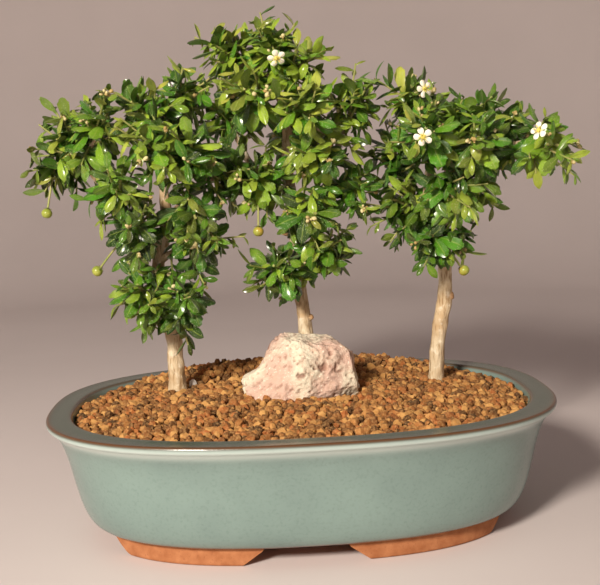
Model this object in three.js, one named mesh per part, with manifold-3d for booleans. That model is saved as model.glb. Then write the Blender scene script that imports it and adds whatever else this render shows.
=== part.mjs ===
// Fukien tea forest bonsai: three small trees in an oval glazed pot, with gravel and a rock.
// Millimetres, +Z up, +X along the pot, the front at -Y.
// The origin is the middle of the underside, on the surface that the feet stand on.

import * as THREE from "three";
import { mergeVertices } from "three/addons/utils/BufferGeometryUtils.js";
import Module from "manifold-3d";

const wasm = await Module();
wasm.setup();

// Clearance that touching pieces keep
const GAP = 0.3;

// Pot: a superellipse in plan. An inset is measured inwards from the rim's outer edge.
const RIM_HALF_LENGTH = 136.5;
const RIM_HALF_WIDTH = 100;
const RIM_HEIGHT = 67.5;
const OVAL_POWER = 2.55;
const OVAL_SIDES = 32;
const POT_PROFILE = [
  // inset, height: up the outside, over the flat lip and down the inside
  [26.5, 8.7],
  [19.6, 12],
  [15.8, 20],
  [13, 31],
  [7.2, 55],
  [3.3, 62],
  [0, 64.4],
  [0, 66.6],
  [1, 67.5],
  [11.6, 67.5],
  [13.2, 65.8],
  [17, 46],
  [20.5, 28],
  [29, 15],
];
const FLOOR_TOP = 15;
const FOOT_HEIGHT = 8.7;
const FOOT_INSET = 26.2;
const FOOT_WIDTH = 13.5;
const FOOT_SINK = 1.6;
const FRONT_ARCH = { middle: -4, bottom: 64, top: 40 };
const END_ARCH = { middle: 0, bottom: 100, top: 78 };
const DRAIN_HOLE_AT = 48;
const DRAIN_HOLE_RADIUS = 10;

// Drain screens: square plastic mesh over each hole, in a recess under the soil
const SCREEN_SIZE = 34;
const SCREEN_HOLES = 2;
const SCREEN_BAR = 3.4;
const SCREEN_THICK = 1.2;

// Soil and gravel: the gravel's surface is a low mound of rounded stones, heaped up at the back
const SOIL_TOP = 60.5;
const SOIL_INSET = [
  [29.7, FLOOR_TOP + GAP],
  [21.2, 28],
  [15.1, SOIL_TOP],
];
const GRAVEL_EDGE = 63.2;
const GRAVEL_MOUND = 5;
const GRAVEL_INSET = 13.7;
const GRAVEL_FOOT_INSET = 14.8;
const GRAVEL_HEAP = 10;
const HEAP_MIDDLE = [-1.5, 66];
const HEAP_REACH = [85, 14];
const STONE_PITCH = 11;
const STONE_RISE = 2;
const STONE_SHIFT = 0.8;

// Rock in front of the middle tree: its left shoulder is low, and flat faces cut its ball
const ROCK_MIDDLE = [1, 3, 72];
const ROCK_HALF = [33, 21, 27];
const ROCK_DETAIL = 3;
const ROCK_POWER = 2.7;
const ROCK_SHOULDER = { low: 0.5, from: -0.8, to: -0.45 };
const ROCK_CUTS = [
  // direction of a flat face, and its distance from the rock's middle
  { way: [0.12, -0.12, 1], reach: 26 },
  { way: [0.35, -0.92, 0.25], reach: 18.5 },
  { way: [-0.45, -0.75, 0.5], reach: 20 },
  { way: [-0.62, -0.1, 0.78], reach: 27 },
  { way: [0.97, -0.2, 0.2], reach: 30 },
  { way: [0.6, 0.1, 0.8], reach: 31 },
  { way: [0.35, -0.8, -0.5], reach: 17 },
];

// Trees: each trunk or limb is a list of [x, y, z, radius], from its foot to its tip.
// Each spray is [x, y, z, droop], where the point is the heart of a tuft of leaves.
const ROOT_DEPTH = 37;
const STEM_HOLE_RADIUS = 6;
const TREES = {
  left: {
    limbs: [
      [[-69.5, 28, ROOT_DEPTH, 4.8], [-69.5, 28, 62, 5], [-69.5, 28, 68, 4.9],
        [-70, 28, 85, 4.4], [-70.5, 28, 100, 4.2], [-74, 28, 114, 4.2], [-77.5, 27, 128, 4.1],
        [-76.5, 26, 142, 3.6], [-73, 25, 155, 3.9], [-70.5, 25, 168, 3.1], [-71.5, 27, 188, 2.6],
        [-73.5, 29, 208, 2.1], [-70.5, 29, 224, 1.6]],
      [[-77.5, 27, 122, 3.2], [-82.5, 24, 136, 3.1], [-89.5, 21, 149, 2.8],
        [-96.5, 22, 168, 2.5], [-105.5, 25, 186, 2.1], [-116.5, 28, 203, 1.7]],
      [[-71.5, 25, 162, 2.4], [-59.5, 20, 176, 2.1], [-48.5, 17, 188, 1.7]],
    ],
    sprays: [
      [-121, 30, 215, 0.2],
      [-129, 30, 199, 0.45],
      [-100.5, 8, 219, 0.1],
      [-112.5, 50, 208, 0.2],
      [-80.5, 18, 227, 0.05],
      [-53.5, 34, 235, 0],
      [-73.5, -14, 207, 0.25],
      [-92.5, 2, 185, 0.5],
      [-52.5, -4, 203, 0.3],
      [-34.5, 18, 191, 0.2],
      [-54, -6, 171, 0.7],
      [-85, 0, 163, 0.7],
      [-83.5, 4, 128.5, 0.35],
      [-67.5, 62, 217, 0.1],
      [-62.5, 8, 123.5, 0.4],
      [-52, 5, 154, 0.6],
    ],
  },
  middle: {
    limbs: [
      [[6.5, 36, ROOT_DEPTH, 4.4], [6.5, 36, 62, 4.6], [6.5, 36, 68, 4.6], [6.5, 37, 93, 4.1],
        [4.5, 38, 115, 3.9], [3, 38, 130, 3.8], [2.5, 38, 145, 3.7], [1.5, 37, 160, 3.6],
        [0.5, 36, 175, 3.4], [-1, 34, 191, 3.2], [-0.5, 31, 208, 2.9], [-3, 27, 226, 2.2],
        [-6.5, 21, 242, 1.6]],
      [[0.5, 36, 172, 2.2], [-12.5, 34, 184, 2], [-23.5, 33, 198, 1.8], [-29.5, 33, 212, 1.5]],
      [[1.5, 37, 158, 2.3], [13.5, 30, 171, 2.1], [22.5, 22, 188, 1.9], [27.5, 15, 206, 1.6]],
    ],
    sprays: [
      [-8.5, 14, 257, 0],
      [-33.5, 20, 256, 0.2],
      [7.5, 12, 247, 0.1],
      [-20.5, -4, 231, 0.15],
      [3.5, -14, 223, 0.2],
      [34, 8, 225, 0.1],
      [-31.5, 44, 224, 0.1],
      [12.5, -2, 199, 0.35],
      [-17.5, 18, 187, 0.4],
      [32.5, 10, 180, 0.5],
      [9.5, 2, 167, 0.6],
      [18.5, 20, 146, 0.5],
      [-8, 20, 136, 0.4],
      [9.5, 70, 213, 0.2],
    ],
  },
  right: {
    limbs: [
      [[81, 28, ROOT_DEPTH, 4.2], [81, 28, 62, 4.2], [81, 28, 68, 4.1], [82.5, 27, 90, 4.3],
        [84, 26.5, 100, 4.4], [86.5, 26, 113, 4.2], [87, 25, 132, 3.8], [86.5, 24, 148, 3.6],
        [86.5, 23, 163, 3.2], [89.5, 23, 182, 2.8], [89.5, 22, 202, 2.3], [86.5, 20, 218, 1.7]],
      [[86.5, 23, 157, 2.3], [78.5, 14, 163, 2.1], [74.5, 10, 172, 2], [75.5, 9, 186, 1.9],
        [77.5, 8, 202, 1.7]],
      [[89.5, 23, 184, 2.2], [103.5, 16, 194, 2], [117.5, 6, 201, 1.7]],
      [[86.5, 24, 152, 2.2], [73.5, 24, 164, 2], [63.5, 22, 176, 1.6]],
    ],
    sprays: [
      [68.5, 14, 225, 0.05],
      [92.5, 4, 213.5, 0.1],
      [114.5, 12, 212, 0.15],
      [133.5, -24, 199, 0.5],
      [96.5, -20, 202, 0.3],
      [69.5, -22, 207, 0.2],
      [59, 22, 198, 0.3],
      [126.5, 30, 202.5, 0.3],
      [60.5, 8, 170.5, 0.45],
      [85.5, -12, 178, 0.85],
      [100.5, 8, 181, 0.7],
      [76.5, 0, 152, 0.5],
      [99.5, 60, 211, 0.2],
    ],
  },
};
const LIMB_SIDES = 6;
const TWIG_SIDES = 3;
const TWIG_STEPS = 2;
const TWIG_TAPER = 0.7;
const TWIG_TIP_RADIUS = 1.2;
const TWIG_BEND = 0.4;
const BARE_TRUNK_POINTS = 3;
const ROOT_BELOW = 8;
const ROOT_ABOVE_COST = 0.9;

// A spray's shoot points away from its root, raised by lift less droop times its weight
const SHOOT_LENGTH = 15;
const SHOOT_TIP_RADIUS = 0.8;
const SHOOT_LIFT = 0.4;
const DROOP_WEIGHT = 0.9;

// Leaves: spatula-shaped, widest near the blunt three-toothed tip, in loose tufts
const LEAVES_PER_SPRAY = 9;
const LEAF_TRIES = 90;
const LEAF_LENGTH = [15, 23];
const LEAF_WIDTH_RATIO = 0.42;
const LEAF_RISE = 0.9;
const LEAF_EDGE_DROP = 0.16;
const LEAF_TILT = [1.35, 0.45];
const LEAF_TILT_SPREAD = 0.5;
const LEAF_TURN_SPREAD = 0.8;
const LEAF_CURL = [0.05, 0.35];
const LEAF_STATION = [0.25, 0.95];
const LEAF_TIP_SHRINK = 0.2;
const LEAF_DROOP = 0.6;
const LEAF_FACES_UP = 0.8;
const CURL_SHORTENING = 0.4;
const WOOD_ROOM = 1.8;
const BLOOM_ROOM = 1.2;
const CELL_MARGIN = 0.35;
const GOLDEN_ANGLE = THREE.MathUtils.degToRad(137.508);
const LEAF_RIB = 0.58;
const LEAF_OUTLINE = [
  // along, across: one half of the outline, from the base to the tip
  [0, 0],
  [0.42, 0.37],
  [0.8, 0.5],
  [0.87, 0.26],
  [1, 0],
];

// Flowers and berries: each hangs on a thin stalk of the spray that its last value numbers
const FLOWER_RADIUS = 5;
const FLOWER_EYE_RADIUS = 1.5;
const BERRY_RADIUS = 3;
const STALK_RADIUS = 0.6;
const STALK_FROM = 0.6;
const STALK_ARCH = 3;
const FLOWER_STALK_STOP = 1.4;
const FLOWERS = [
  { tree: "middle", at: [-6.5, -10, 249], spray: 0 },
  { tree: "right", at: [63.5, -42, 205], spray: 5 },
  { tree: "right", at: [71.5, -6, 231], spray: 0 },
  { tree: "right", at: [121.5, -44, 206], spray: 3 },
];
const BERRIES = [
  { tree: "left", at: [-136.5, 25, 172], spray: 1 },
  { tree: "left", at: [-108.5, 10, 140], spray: 11 },
  { tree: "middle", at: [-19.5, 10, 158], spray: 8 },
  { tree: "right", at: [91.5, -4, 133], spray: 11 },
];

// Materials, in the colours of the photograph
const MATERIALS = {
  glaze: new THREE.MeshStandardMaterial({ color: 0x6f9a90, roughness: 0.3 }),
  screen: new THREE.MeshStandardMaterial({ color: 0x2b2d2c, roughness: 0.7 }),
  soil: new THREE.MeshStandardMaterial({ color: 0x3a2a1d, roughness: 1 }),
  gravel: new THREE.MeshStandardMaterial({ color: 0x9c6236, roughness: 0.9 }),
  rock: new THREE.MeshStandardMaterial({ color: 0xd8c3b4, roughness: 0.95 }),
  bark: new THREE.MeshStandardMaterial({ color: 0xcdb08a, roughness: 0.9 }),
  leaf: new THREE.MeshStandardMaterial({ color: 0x3f6d22, roughness: 0.4 }),
  petal: new THREE.MeshStandardMaterial({ color: 0xf3eed0, roughness: 0.6 }),
  berry: new THREE.MeshStandardMaterial({ color: 0xa6ac3c, roughness: 0.45 }),
};

const UP = new THREE.Vector3(0, 0, 1);

// Repeatable draws between 0 and 1
function seeded(seed) {
  let state = seed >>> 0;
  return () => {
    state = (Math.imul(state, 1664525) + 1013904223) >>> 0;
    return state / 4294967296;
  };
}

function vector(point) {
  return new THREE.Vector3(point[0], point[1], point[2]);
}

function flatten(points) {
  return points.flatMap((p) => [p.x, p.y, p.z]);
}

// Closed geometry from a flat list of positions and triangles
function closedGeometry(positions, triangles) {
  const geometry = new THREE.BufferGeometry();
  geometry.setAttribute("position", new THREE.Float32BufferAttribute(positions, 3));
  geometry.setIndex(triangles);
  return geometry;
}

// Skin over rings of equal count, each turning anticlockwise about the way of travel
function loft(rings) {
  const sides = rings[0].length;
  const first = new THREE.Vector3();
  const last = new THREE.Vector3();
  for (let i = 0; i < sides; i++) {
    first.addScaledVector(rings[0][i], 1 / sides);
    last.addScaledVector(rings[rings.length - 1][i], 1 / sides);
  }
  const positions = flatten([...rings.flat(), first, last]);
  const firstPole = rings.length * sides;
  const lastRing = (rings.length - 1) * sides;
  const triangles = [];
  for (let i = 0; i < sides; i++) {
    const j = (i + 1) % sides;
    triangles.push(firstPole, j, i);
    triangles.push(firstPole + 1, lastRing + i, lastRing + j);
    for (let k = 0; k < lastRing; k += sides) {
      triangles.push(k + i, k + j, k + sides + j);
      triangles.push(k + i, k + sides + j, k + sides + i);
    }
  }
  return closedGeometry(positions, triangles);
}

// Thin blade: its outline's corners, then the middle of the upper face and of the lower
function twoFans(corners) {
  const edge = corners.length - 2;
  const triangles = [];
  for (let i = 0; i < edge; i++) {
    const j = (i + 1) % edge;
    triangles.push(edge, j, i, edge + 1, i, j);
  }
  return closedGeometry(flatten(corners), triangles);
}

function toSolid(geometry) {
  const bare = geometry.clone();
  bare.deleteAttribute("normal");
  bare.deleteAttribute("uv");
  const merged = mergeVertices(bare);
  const vertProperties = new Float32Array(merged.attributes.position.array);
  const triVerts = new Uint32Array(merged.index.array);
  return new wasm.Manifold(new wasm.Mesh({ numProp: 3, vertProperties, triVerts }));
}

function toGeometry(solid) {
  const mesh = solid.getMesh();
  const geometry = new THREE.BufferGeometry();
  geometry.setAttribute("position", new THREE.Float32BufferAttribute(mesh.vertProperties, 3));
  geometry.setIndex([...mesh.triVerts]);
  geometry.computeVertexNormals();
  return geometry;
}

function addNode(parent, name, geometry, material) {
  const mesh = new THREE.Mesh(geometry, material);
  mesh.name = name;
  parent.add(mesh);
  return mesh;
}

// Pot and what fills it

// Point of the oval at an inset: |x/a|^n + |y/b|^n = 1
function ovalRing(inset, height) {
  const ring = [];
  for (let i = 0; i < OVAL_SIDES; i++) {
    const turn = (i / OVAL_SIDES) * 2 * Math.PI;
    const cos = Math.cos(turn);
    const sin = Math.sin(turn);
    const x = Math.sign(cos) * Math.abs(cos) ** (2 / OVAL_POWER) * (RIM_HALF_LENGTH - inset);
    const y = Math.sign(sin) * Math.abs(sin) ** (2 / OVAL_POWER) * (RIM_HALF_WIDTH - inset);
    ring.push(new THREE.Vector3(x, y, height));
  }
  return ring;
}

function ovalSolid(profile) {
  return toSolid(loft(profile.map(([inset, height]) => ovalRing(inset, height))));
}

// Upright round bar, used as a cutter
function roundBar(x, y, radius, bottom, top, sides) {
  const rings = [bottom, top].map((height) => {
    const ring = [];
    for (let i = 0; i < sides; i++) {
      const turn = ((i + 0.5) / sides) * 2 * Math.PI;
      ring.push(new THREE.Vector3(x + radius * Math.cos(turn), y + radius * Math.sin(turn), height));
    }
    return ring;
  });
  return toSolid(loft(rings));
}

// Arch between two feet: a bar of trapezoid section through the foot ring
function archCutter(arch, turn) {
  const top = FOOT_HEIGHT;
  const below = -2;
  const widen = ((arch.bottom - arch.top) / 2 / top) * below;
  const shape = new THREE.Shape([
    new THREE.Vector2(arch.middle - arch.bottom / 2 + widen, below),
    new THREE.Vector2(arch.middle + arch.bottom / 2 - widen, below),
    new THREE.Vector2(arch.middle + arch.top / 2, top),
    new THREE.Vector2(arch.middle - arch.top / 2, top),
  ]);
  const length = 3 * RIM_HALF_LENGTH;
  const geometry = new THREE.ExtrudeGeometry(shape, { depth: length, bevelEnabled: false });
  geometry.rotateX(Math.PI / 2);
  geometry.translate(0, length / 2, 0);
  geometry.rotateZ(turn);
  return toSolid(geometry);
}

function buildPot() {
  const inside = FOOT_INSET + FOOT_WIDTH;
  const footTop = FOOT_HEIGHT + FOOT_SINK;
  const ring = ovalSolid([[FOOT_INSET, 0], [FOOT_INSET, footTop]]);
  const hollow = ovalSolid([[inside, -1], [inside, footTop + 1]]);
  const feet = ring
    .subtract(hollow)
    .subtract(archCutter(FRONT_ARCH, 0))
    .subtract(archCutter(END_ARCH, Math.PI / 2));
  let pot = ovalSolid(POT_PROFILE).add(feet);
  for (const side of [-1, 1]) {
    pot = pot.subtract(roundBar(side * DRAIN_HOLE_AT, 0, DRAIN_HOLE_RADIUS, 0, FLOOR_TOP + 5, 12));
  }
  return pot;
}

// Square plate with a grid of square holes
function buildScreen() {
  const pitch = (SCREEN_SIZE - SCREEN_BAR) / SCREEN_HOLES;
  const opening = pitch - SCREEN_BAR;
  let screen = toSolid(new THREE.BoxGeometry(SCREEN_SIZE, SCREEN_SIZE, SCREEN_THICK));
  for (let i = 0; i < SCREEN_HOLES; i++) {
    for (let j = 0; j < SCREEN_HOLES; j++) {
      const hole = new THREE.BoxGeometry(opening, opening, 2 * SCREEN_THICK);
      const middle = (SCREEN_HOLES - 1) / 2;
      hole.translate((i - middle) * pitch, (j - middle) * pitch, 0);
      screen = screen.subtract(toSolid(hole));
    }
  }
  return toGeometry(screen);
}

function buildSoil(stems) {
  let soil = ovalSolid(SOIL_INSET);
  const recess = SCREEN_SIZE + 2 * GAP;
  for (const side of [-1, 1]) {
    const box = new THREE.BoxGeometry(recess, recess, 2 * (SCREEN_THICK + 2 * GAP));
    box.translate(side * DRAIN_HOLE_AT, 0, FLOOR_TOP + GAP);
    soil = soil.subtract(toSolid(box));
  }
  for (const stem of stems) {
    soil = soil.subtract(stem);
  }
  return soil;
}

// Height of the gravel bed: an oval mound, and a long heap behind the trees
function bedHeight(x, y) {
  const a = Math.abs(x / (RIM_HALF_LENGTH - GRAVEL_INSET)) ** OVAL_POWER;
  const b = Math.abs(y / (RIM_HALF_WIDTH - GRAVEL_INSET)) ** OVAL_POWER;
  const reach = (a + b) ** (2 / OVAL_POWER);
  const along = ((x - HEAP_MIDDLE[0]) / HEAP_REACH[0]) ** 4;
  const across = ((y - HEAP_MIDDLE[1]) / HEAP_REACH[1]) ** 2;
  const mound = GRAVEL_MOUND * Math.max(0, 1 - reach);
  return GRAVEL_EDGE + mound + GRAVEL_HEAP * Math.exp(-along - across);
}

// Stones as relief: in a triangular lattice every third point is a raised stone top
function stoneRelief() {
  const draw = seeded(7);
  const rowStep = (STONE_PITCH * Math.sqrt(3)) / 2;
  const columns = Math.ceil((2 * RIM_HALF_LENGTH) / STONE_PITCH) + 1;
  const rows = Math.ceil((2 * RIM_HALF_WIDTH) / rowStep) + 1;
  const positions = [];
  for (let j = 0; j < rows; j++) {
    for (let i = 0; i < columns; i++) {
      const x = (i + 0.5 * (j % 2) - columns / 2) * STONE_PITCH + (draw() - 0.5) * 2 * STONE_SHIFT;
      const y = (j - rows / 2) * rowStep + (draw() - 0.5) * 2 * STONE_SHIFT;
      const isTop = (i + (j % 2 ? 2 : 0)) % 3 === 0;
      const rise = isTop ? STONE_RISE * (0.8 + 0.4 * draw()) : -0.3 * draw();
      positions.push(x, y, bedHeight(x, y) + rise);
    }
  }
  const count = rows * columns;
  for (let k = 0; k < count; k++) {
    positions.push(positions[3 * k], positions[3 * k + 1], SOIL_TOP - 5);
  }
  const triangles = [];
  const addBoth = (a, b, c) => triangles.push(a, b, c, a + count, c + count, b + count);
  for (let j = 0; j + 1 < rows; j++) {
    for (let i = 0; i + 1 < columns; i++) {
      const a = j * columns + i;
      const b = a + columns;
      if (j % 2) {
        addBoth(a, a + 1, b + 1);
        addBoth(a, b + 1, b);
      } else {
        addBoth(a, a + 1, b);
        addBoth(a + 1, b + 1, b);
      }
    }
  }
  const addWall = (a, b) => triangles.push(a, b, b + count, a, b + count, a + count);
  for (let i = 0; i + 1 < columns; i++) {
    addWall(i + 1, i);
    addWall((rows - 1) * columns + i, (rows - 1) * columns + i + 1);
  }
  for (let j = 0; j + 1 < rows; j++) {
    addWall(j * columns, (j + 1) * columns);
    addWall((j + 2) * columns - 1, (j + 1) * columns - 1);
  }
  return toSolid(closedGeometry(positions, triangles));
}

function buildGravel(stems, rockPocket) {
  const bottom = SOIL_TOP + GAP;
  const bed = ovalSolid([
    [GRAVEL_FOOT_INSET, bottom],
    [GRAVEL_INSET, RIM_HEIGHT],
    [GRAVEL_INSET, RIM_HEIGHT + 20],
  ]);
  let gravel = bed.intersect(stoneRelief()).subtract(rockPocket);
  for (const stem of stems) {
    gravel = gravel.subtract(stem);
  }
  return gravel;
}

// Lumpy boulder: a squared ball pushed in and out by crossed waves, low to the left and cut by
// flat faces, with its foot flat. It is grown by a clearance to cut its own pocket.
function buildRock(grow) {
  const geometry = mergeVertices(bareBall(1, ROCK_DETAIL));
  const position = geometry.attributes.position;
  const foot = SOIL_TOP + GAP - (grow > 0 ? 1 : 0);
  const [halfX, halfY, halfZ] = ROCK_HALF;
  const { low, from, to } = ROCK_SHOULDER;
  for (let i = 0; i < position.count; i++) {
    const p = new THREE.Vector3().fromBufferAttribute(position, i);
    const broad = 0.06 * Math.sin(3.1 * p.x + 1.2) * Math.cos(2.7 * p.y - 0.6);
    const ridge = 0.05 * Math.sin(7.3 * p.x + 4.1 * p.z) + 0.05 * Math.cos(8.7 * p.y - 5.2 * p.z);
    const size = 1 + broad + ridge;
    const powers = [p.x, p.y, p.z].map((value) => Math.abs(value) ** ROCK_POWER);
    p.multiplyScalar((powers[0] + powers[1] + powers[2]) ** (-1 / ROCK_POWER));
    const shoulder = THREE.MathUtils.lerp(low, 1, THREE.MathUtils.smoothstep(p.x, from, to));
    p.set(p.x * halfX * size, p.y * halfY * size, p.z * halfZ * size * shoulder);
    const out = new THREE.Vector3(p.x / halfX ** 2, p.y / halfY ** 2, p.z / halfZ ** 2);
    for (const { way, reach } of ROCK_CUTS) {
      const normal = vector(way).normalize();
      p.addScaledVector(normal, -Math.max(0, p.dot(normal) - reach));
    }
    p.addScaledVector(out.normalize(), grow).add(vector(ROCK_MIDDLE));
    position.setXYZ(i, p.x, p.y, Math.max(p.z, foot));
  }
  return geometry;
}

function bareBall(radius, detail) {
  const ball = new THREE.IcosahedronGeometry(radius, detail);
  ball.deleteAttribute("normal");
  ball.deleteAttribute("uv");
  return ball;
}

// Wood

// Points with radii of a limb
function limbSamples(limb) {
  return limb.map((point) => ({ point: vector(point), radius: point[3] }));
}

// Tube through samples, its frame carried along without twisting
function tube(samples, sides) {
  const rings = [];
  let normal = new THREE.Vector3(0.31, 0.95, 0.05);
  samples.forEach(({ point, radius }, i) => {
    const before = samples[Math.max(i - 1, 0)].point;
    const after = samples[Math.min(i + 1, samples.length - 1)].point;
    const tangent = after.clone().sub(before).normalize();
    normal = normal.clone().addScaledVector(tangent, -normal.dot(tangent)).normalize();
    const side = tangent.clone().cross(normal);
    const ring = [];
    for (let k = 0; k < sides; k++) {
      const turn = (k / sides) * 2 * Math.PI;
      const spot = point.clone().addScaledVector(normal, radius * Math.cos(turn));
      ring.push(spot.addScaledVector(side, radius * Math.sin(turn)));
    }
    rings.push(ring);
  });
  return loft(rings);
}

// Points with radii along the curve from start, by way of bend, to end
function twigSamples(start, bend, end, thick, thin, steps) {
  const curve = new THREE.QuadraticBezierCurve3(start, bend, end);
  const samples = [];
  for (let i = 0; i <= steps; i++) {
    const t = i / steps;
    samples.push({ point: curve.getPoint(t), radius: THREE.MathUtils.lerp(thick, thin, t) });
  }
  return samples;
}

// Place on the limbs that a spray's twig grows from: near, and rather below than above it
function twigRoot(limbs, heart) {
  let best = null;
  limbs.forEach((samples, number) => {
    for (const sample of samples.slice(number === 0 ? BARE_TRUNK_POINTS : 1)) {
      const above = Math.max(0, sample.point.z + ROOT_BELOW - heart.z);
      const cost = sample.point.distanceTo(heart) + ROOT_ABOVE_COST * above;
      if (!best || cost < best.cost) {
        best = { cost, sample };
      }
    }
  });
  return best.sample;
}

// Layout of one tree: its limbs, and a twig and a leafy shoot for each spray
function layOutTree(tree) {
  const limbs = tree.limbs.map(limbSamples);
  const sprays = tree.sprays.map(([x, y, z, droop]) => {
    const heart = new THREE.Vector3(x, y, z);
    const root = twigRoot(limbs, heart);
    const way = heart.clone().sub(root.point).normalize();
    way.addScaledVector(UP, SHOOT_LIFT - DROOP_WEIGHT * droop).normalize();
    const joint = heart.clone().addScaledVector(way, -SHOOT_LENGTH / 2);
    const reach = joint.distanceTo(root.point);
    const bend = joint.clone().addScaledVector(way, -TWIG_BEND * reach);
    const thick = Math.max(TWIG_TIP_RADIUS, TWIG_TAPER * root.radius);
    const twig = twigSamples(root.point, bend, joint, thick, TWIG_TIP_RADIUS, TWIG_STEPS);
    const foot = joint.clone().addScaledVector(way, GAP);
    const tip = foot.clone().addScaledVector(way, SHOOT_LENGTH);
    const shoot = [
      { point: foot, radius: TWIG_TIP_RADIUS },
      { point: tip, radius: SHOOT_TIP_RADIUS },
    ];
    return { heart, way, droop, twig, shoot, stalks: [] };
  });
  return { limbs, sprays };
}

// Stalk from a spray's shoot to just short of its flower or berry
function stalkSamples(spray, at, short) {
  const [foot, tip] = spray.shoot;
  const start = foot.point.clone().lerp(tip.point, STALK_FROM);
  const end = vector(at);
  const away = end.clone().sub(start).normalize();
  const stop = end.clone().addScaledVector(away, -short - GAP);
  const bend = start.clone().lerp(stop, 0.5).addScaledVector(UP, STALK_ARCH);
  return twigSamples(start, bend, stop, STALK_RADIUS, STALK_RADIUS, TWIG_STEPS);
}

// Leaves

// A leaf's corners: its outline, turning from base to tip and back, then its raised midrib.
// The blade arches down to its tip, and its edges hang a little lower than the midrib.
function leafCorners({ base, along, up, length, curl }) {
  const across = up.clone().cross(along);
  const width = length * LEAF_WIDTH_RATIO;
  const place = ([u, v], rise) => {
    const lift = rise - curl * length * u * u - LEAF_EDGE_DROP * Math.abs(v) * width;
    const spot = base.clone().addScaledVector(along, length * u * (1 - CURL_SHORTENING * curl * u));
    return spot.addScaledVector(across, v * width).addScaledVector(up, lift);
  };
  const left = LEAF_OUTLINE.map((corner) => place(corner, 0));
  const right = LEAF_OUTLINE.slice(1, -1).map(([u, v]) => place([u, -v], 0));
  return [...left, ...right.reverse(), place([LEAF_RIB, 0], LEAF_RISE)];
}

// Thin solid blade: a fan from the midrib above, and strips from edge to edge below
function leafGeometry(leaf) {
  const corners = leafCorners(leaf);
  const rib = corners.length - 1;
  const triangles = [];
  for (let i = 0; i < rib; i++) {
    triangles.push(rib, (i + 1) % rib, i);
  }
  for (let i = 0; i < rib / 2; i++) {
    if (i < rib / 2 - 1) {
      triangles.push(i, i + 1, rib - i - 1);
    }
    if (i > 0) {
      triangles.push(i, rib - i - 1, rib - i);
    }
  }
  return closedGeometry(flatten(corners), triangles);
}

// Distance from a point to the segment between two samples, less the wood's radius
function clearOf(point, a, b) {
  const along = b.point.clone().sub(a.point);
  const t = THREE.MathUtils.clamp(point.clone().sub(a.point).dot(along) / along.lengthSq(), 0, 1);
  const nearest = a.point.clone().addScaledVector(along, t);
  return point.distanceTo(nearest) - Math.max(a.radius, b.radius);
}

// A leaf fits when it stays in its own spray's share of space and clear of wood and blooms
function leafFits(leaf, own, hearts, woods, balls) {
  const corners = leafCorners(leaf);
  const rib = corners[corners.length - 1];
  const points = [...corners, rib.clone().lerp(corners[0], 0.5), rib.clone().lerp(corners[4], 0.5)];
  for (const heart of hearts) {
    if (heart === own.heart) {
      continue;
    }
    const apart = heart.clone().sub(own.heart);
    const limit = apart.length() / 2 - CELL_MARGIN;
    apart.normalize();
    if (points.some((p) => p.clone().sub(own.heart).dot(apart) > limit)) {
      return false;
    }
  }
  for (const { samples, spray } of woods) {
    if (spray === own) {
      continue;
    }
    for (let i = 0; i + 1 < samples.length; i++) {
      if (points.some((p) => clearOf(p, samples[i], samples[i + 1]) < WOOD_ROOM)) {
        return false;
      }
    }
  }
  return balls.every(({ at, room }) => points.every((p) => p.distanceTo(at) > room));
}

// A leaf's way and face: it turns about the shoot, tilts away from it and hangs with the droop
function leafWays(spray, turn, tilt) {
  const first = Math.abs(spray.way.z) < 0.9 ? UP : new THREE.Vector3(1, 0, 0);
  const normal = spray.way.clone().cross(first).normalize();
  const side = spray.way.clone().cross(normal);
  const radial = normal.multiplyScalar(Math.cos(turn)).addScaledVector(side, Math.sin(turn));
  const along = spray.way.clone().multiplyScalar(Math.cos(tilt));
  along.addScaledVector(radial, Math.sin(tilt)).addScaledVector(UP, -LEAF_DROOP * spray.droop);
  along.normalize();
  const up = spray.way.clone().addScaledVector(UP, LEAF_FACES_UP);
  up.addScaledVector(along, -up.dot(along)).normalize();
  return { along, up };
}

// Leaves of one spray, turned about the shoot by the golden angle, kept where they fit
function layOutLeaves(spray, seed, hearts, woods, balls) {
  const draw = seeded(seed);
  const { lerp } = THREE.MathUtils;
  const [foot, tip] = spray.shoot;
  const leaves = [];
  for (let k = 0; k < LEAF_TRIES && leaves.length < LEAVES_PER_SPRAY; k++) {
    const rank = leaves.length / LEAVES_PER_SPRAY;
    const turn = k * GOLDEN_ANGLE + (draw() - 0.5) * LEAF_TURN_SPREAD;
    const tilt = lerp(...LEAF_TILT, rank) + (draw() - 0.5) * LEAF_TILT_SPREAD;
    const length = lerp(...LEAF_LENGTH, draw()) * (1 - LEAF_TIP_SHRINK * rank);
    const curl = lerp(...LEAF_CURL, draw());
    const base = foot.point.clone().lerp(tip.point, lerp(...LEAF_STATION, rank));
    const leaf = { base, length, curl, ...leafWays(spray, turn, tilt) };
    if (leafFits(leaf, spray, hearts, woods, balls)) {
      leaves.push(leaf);
    }
  }
  return leaves;
}

// Blooms

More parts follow.
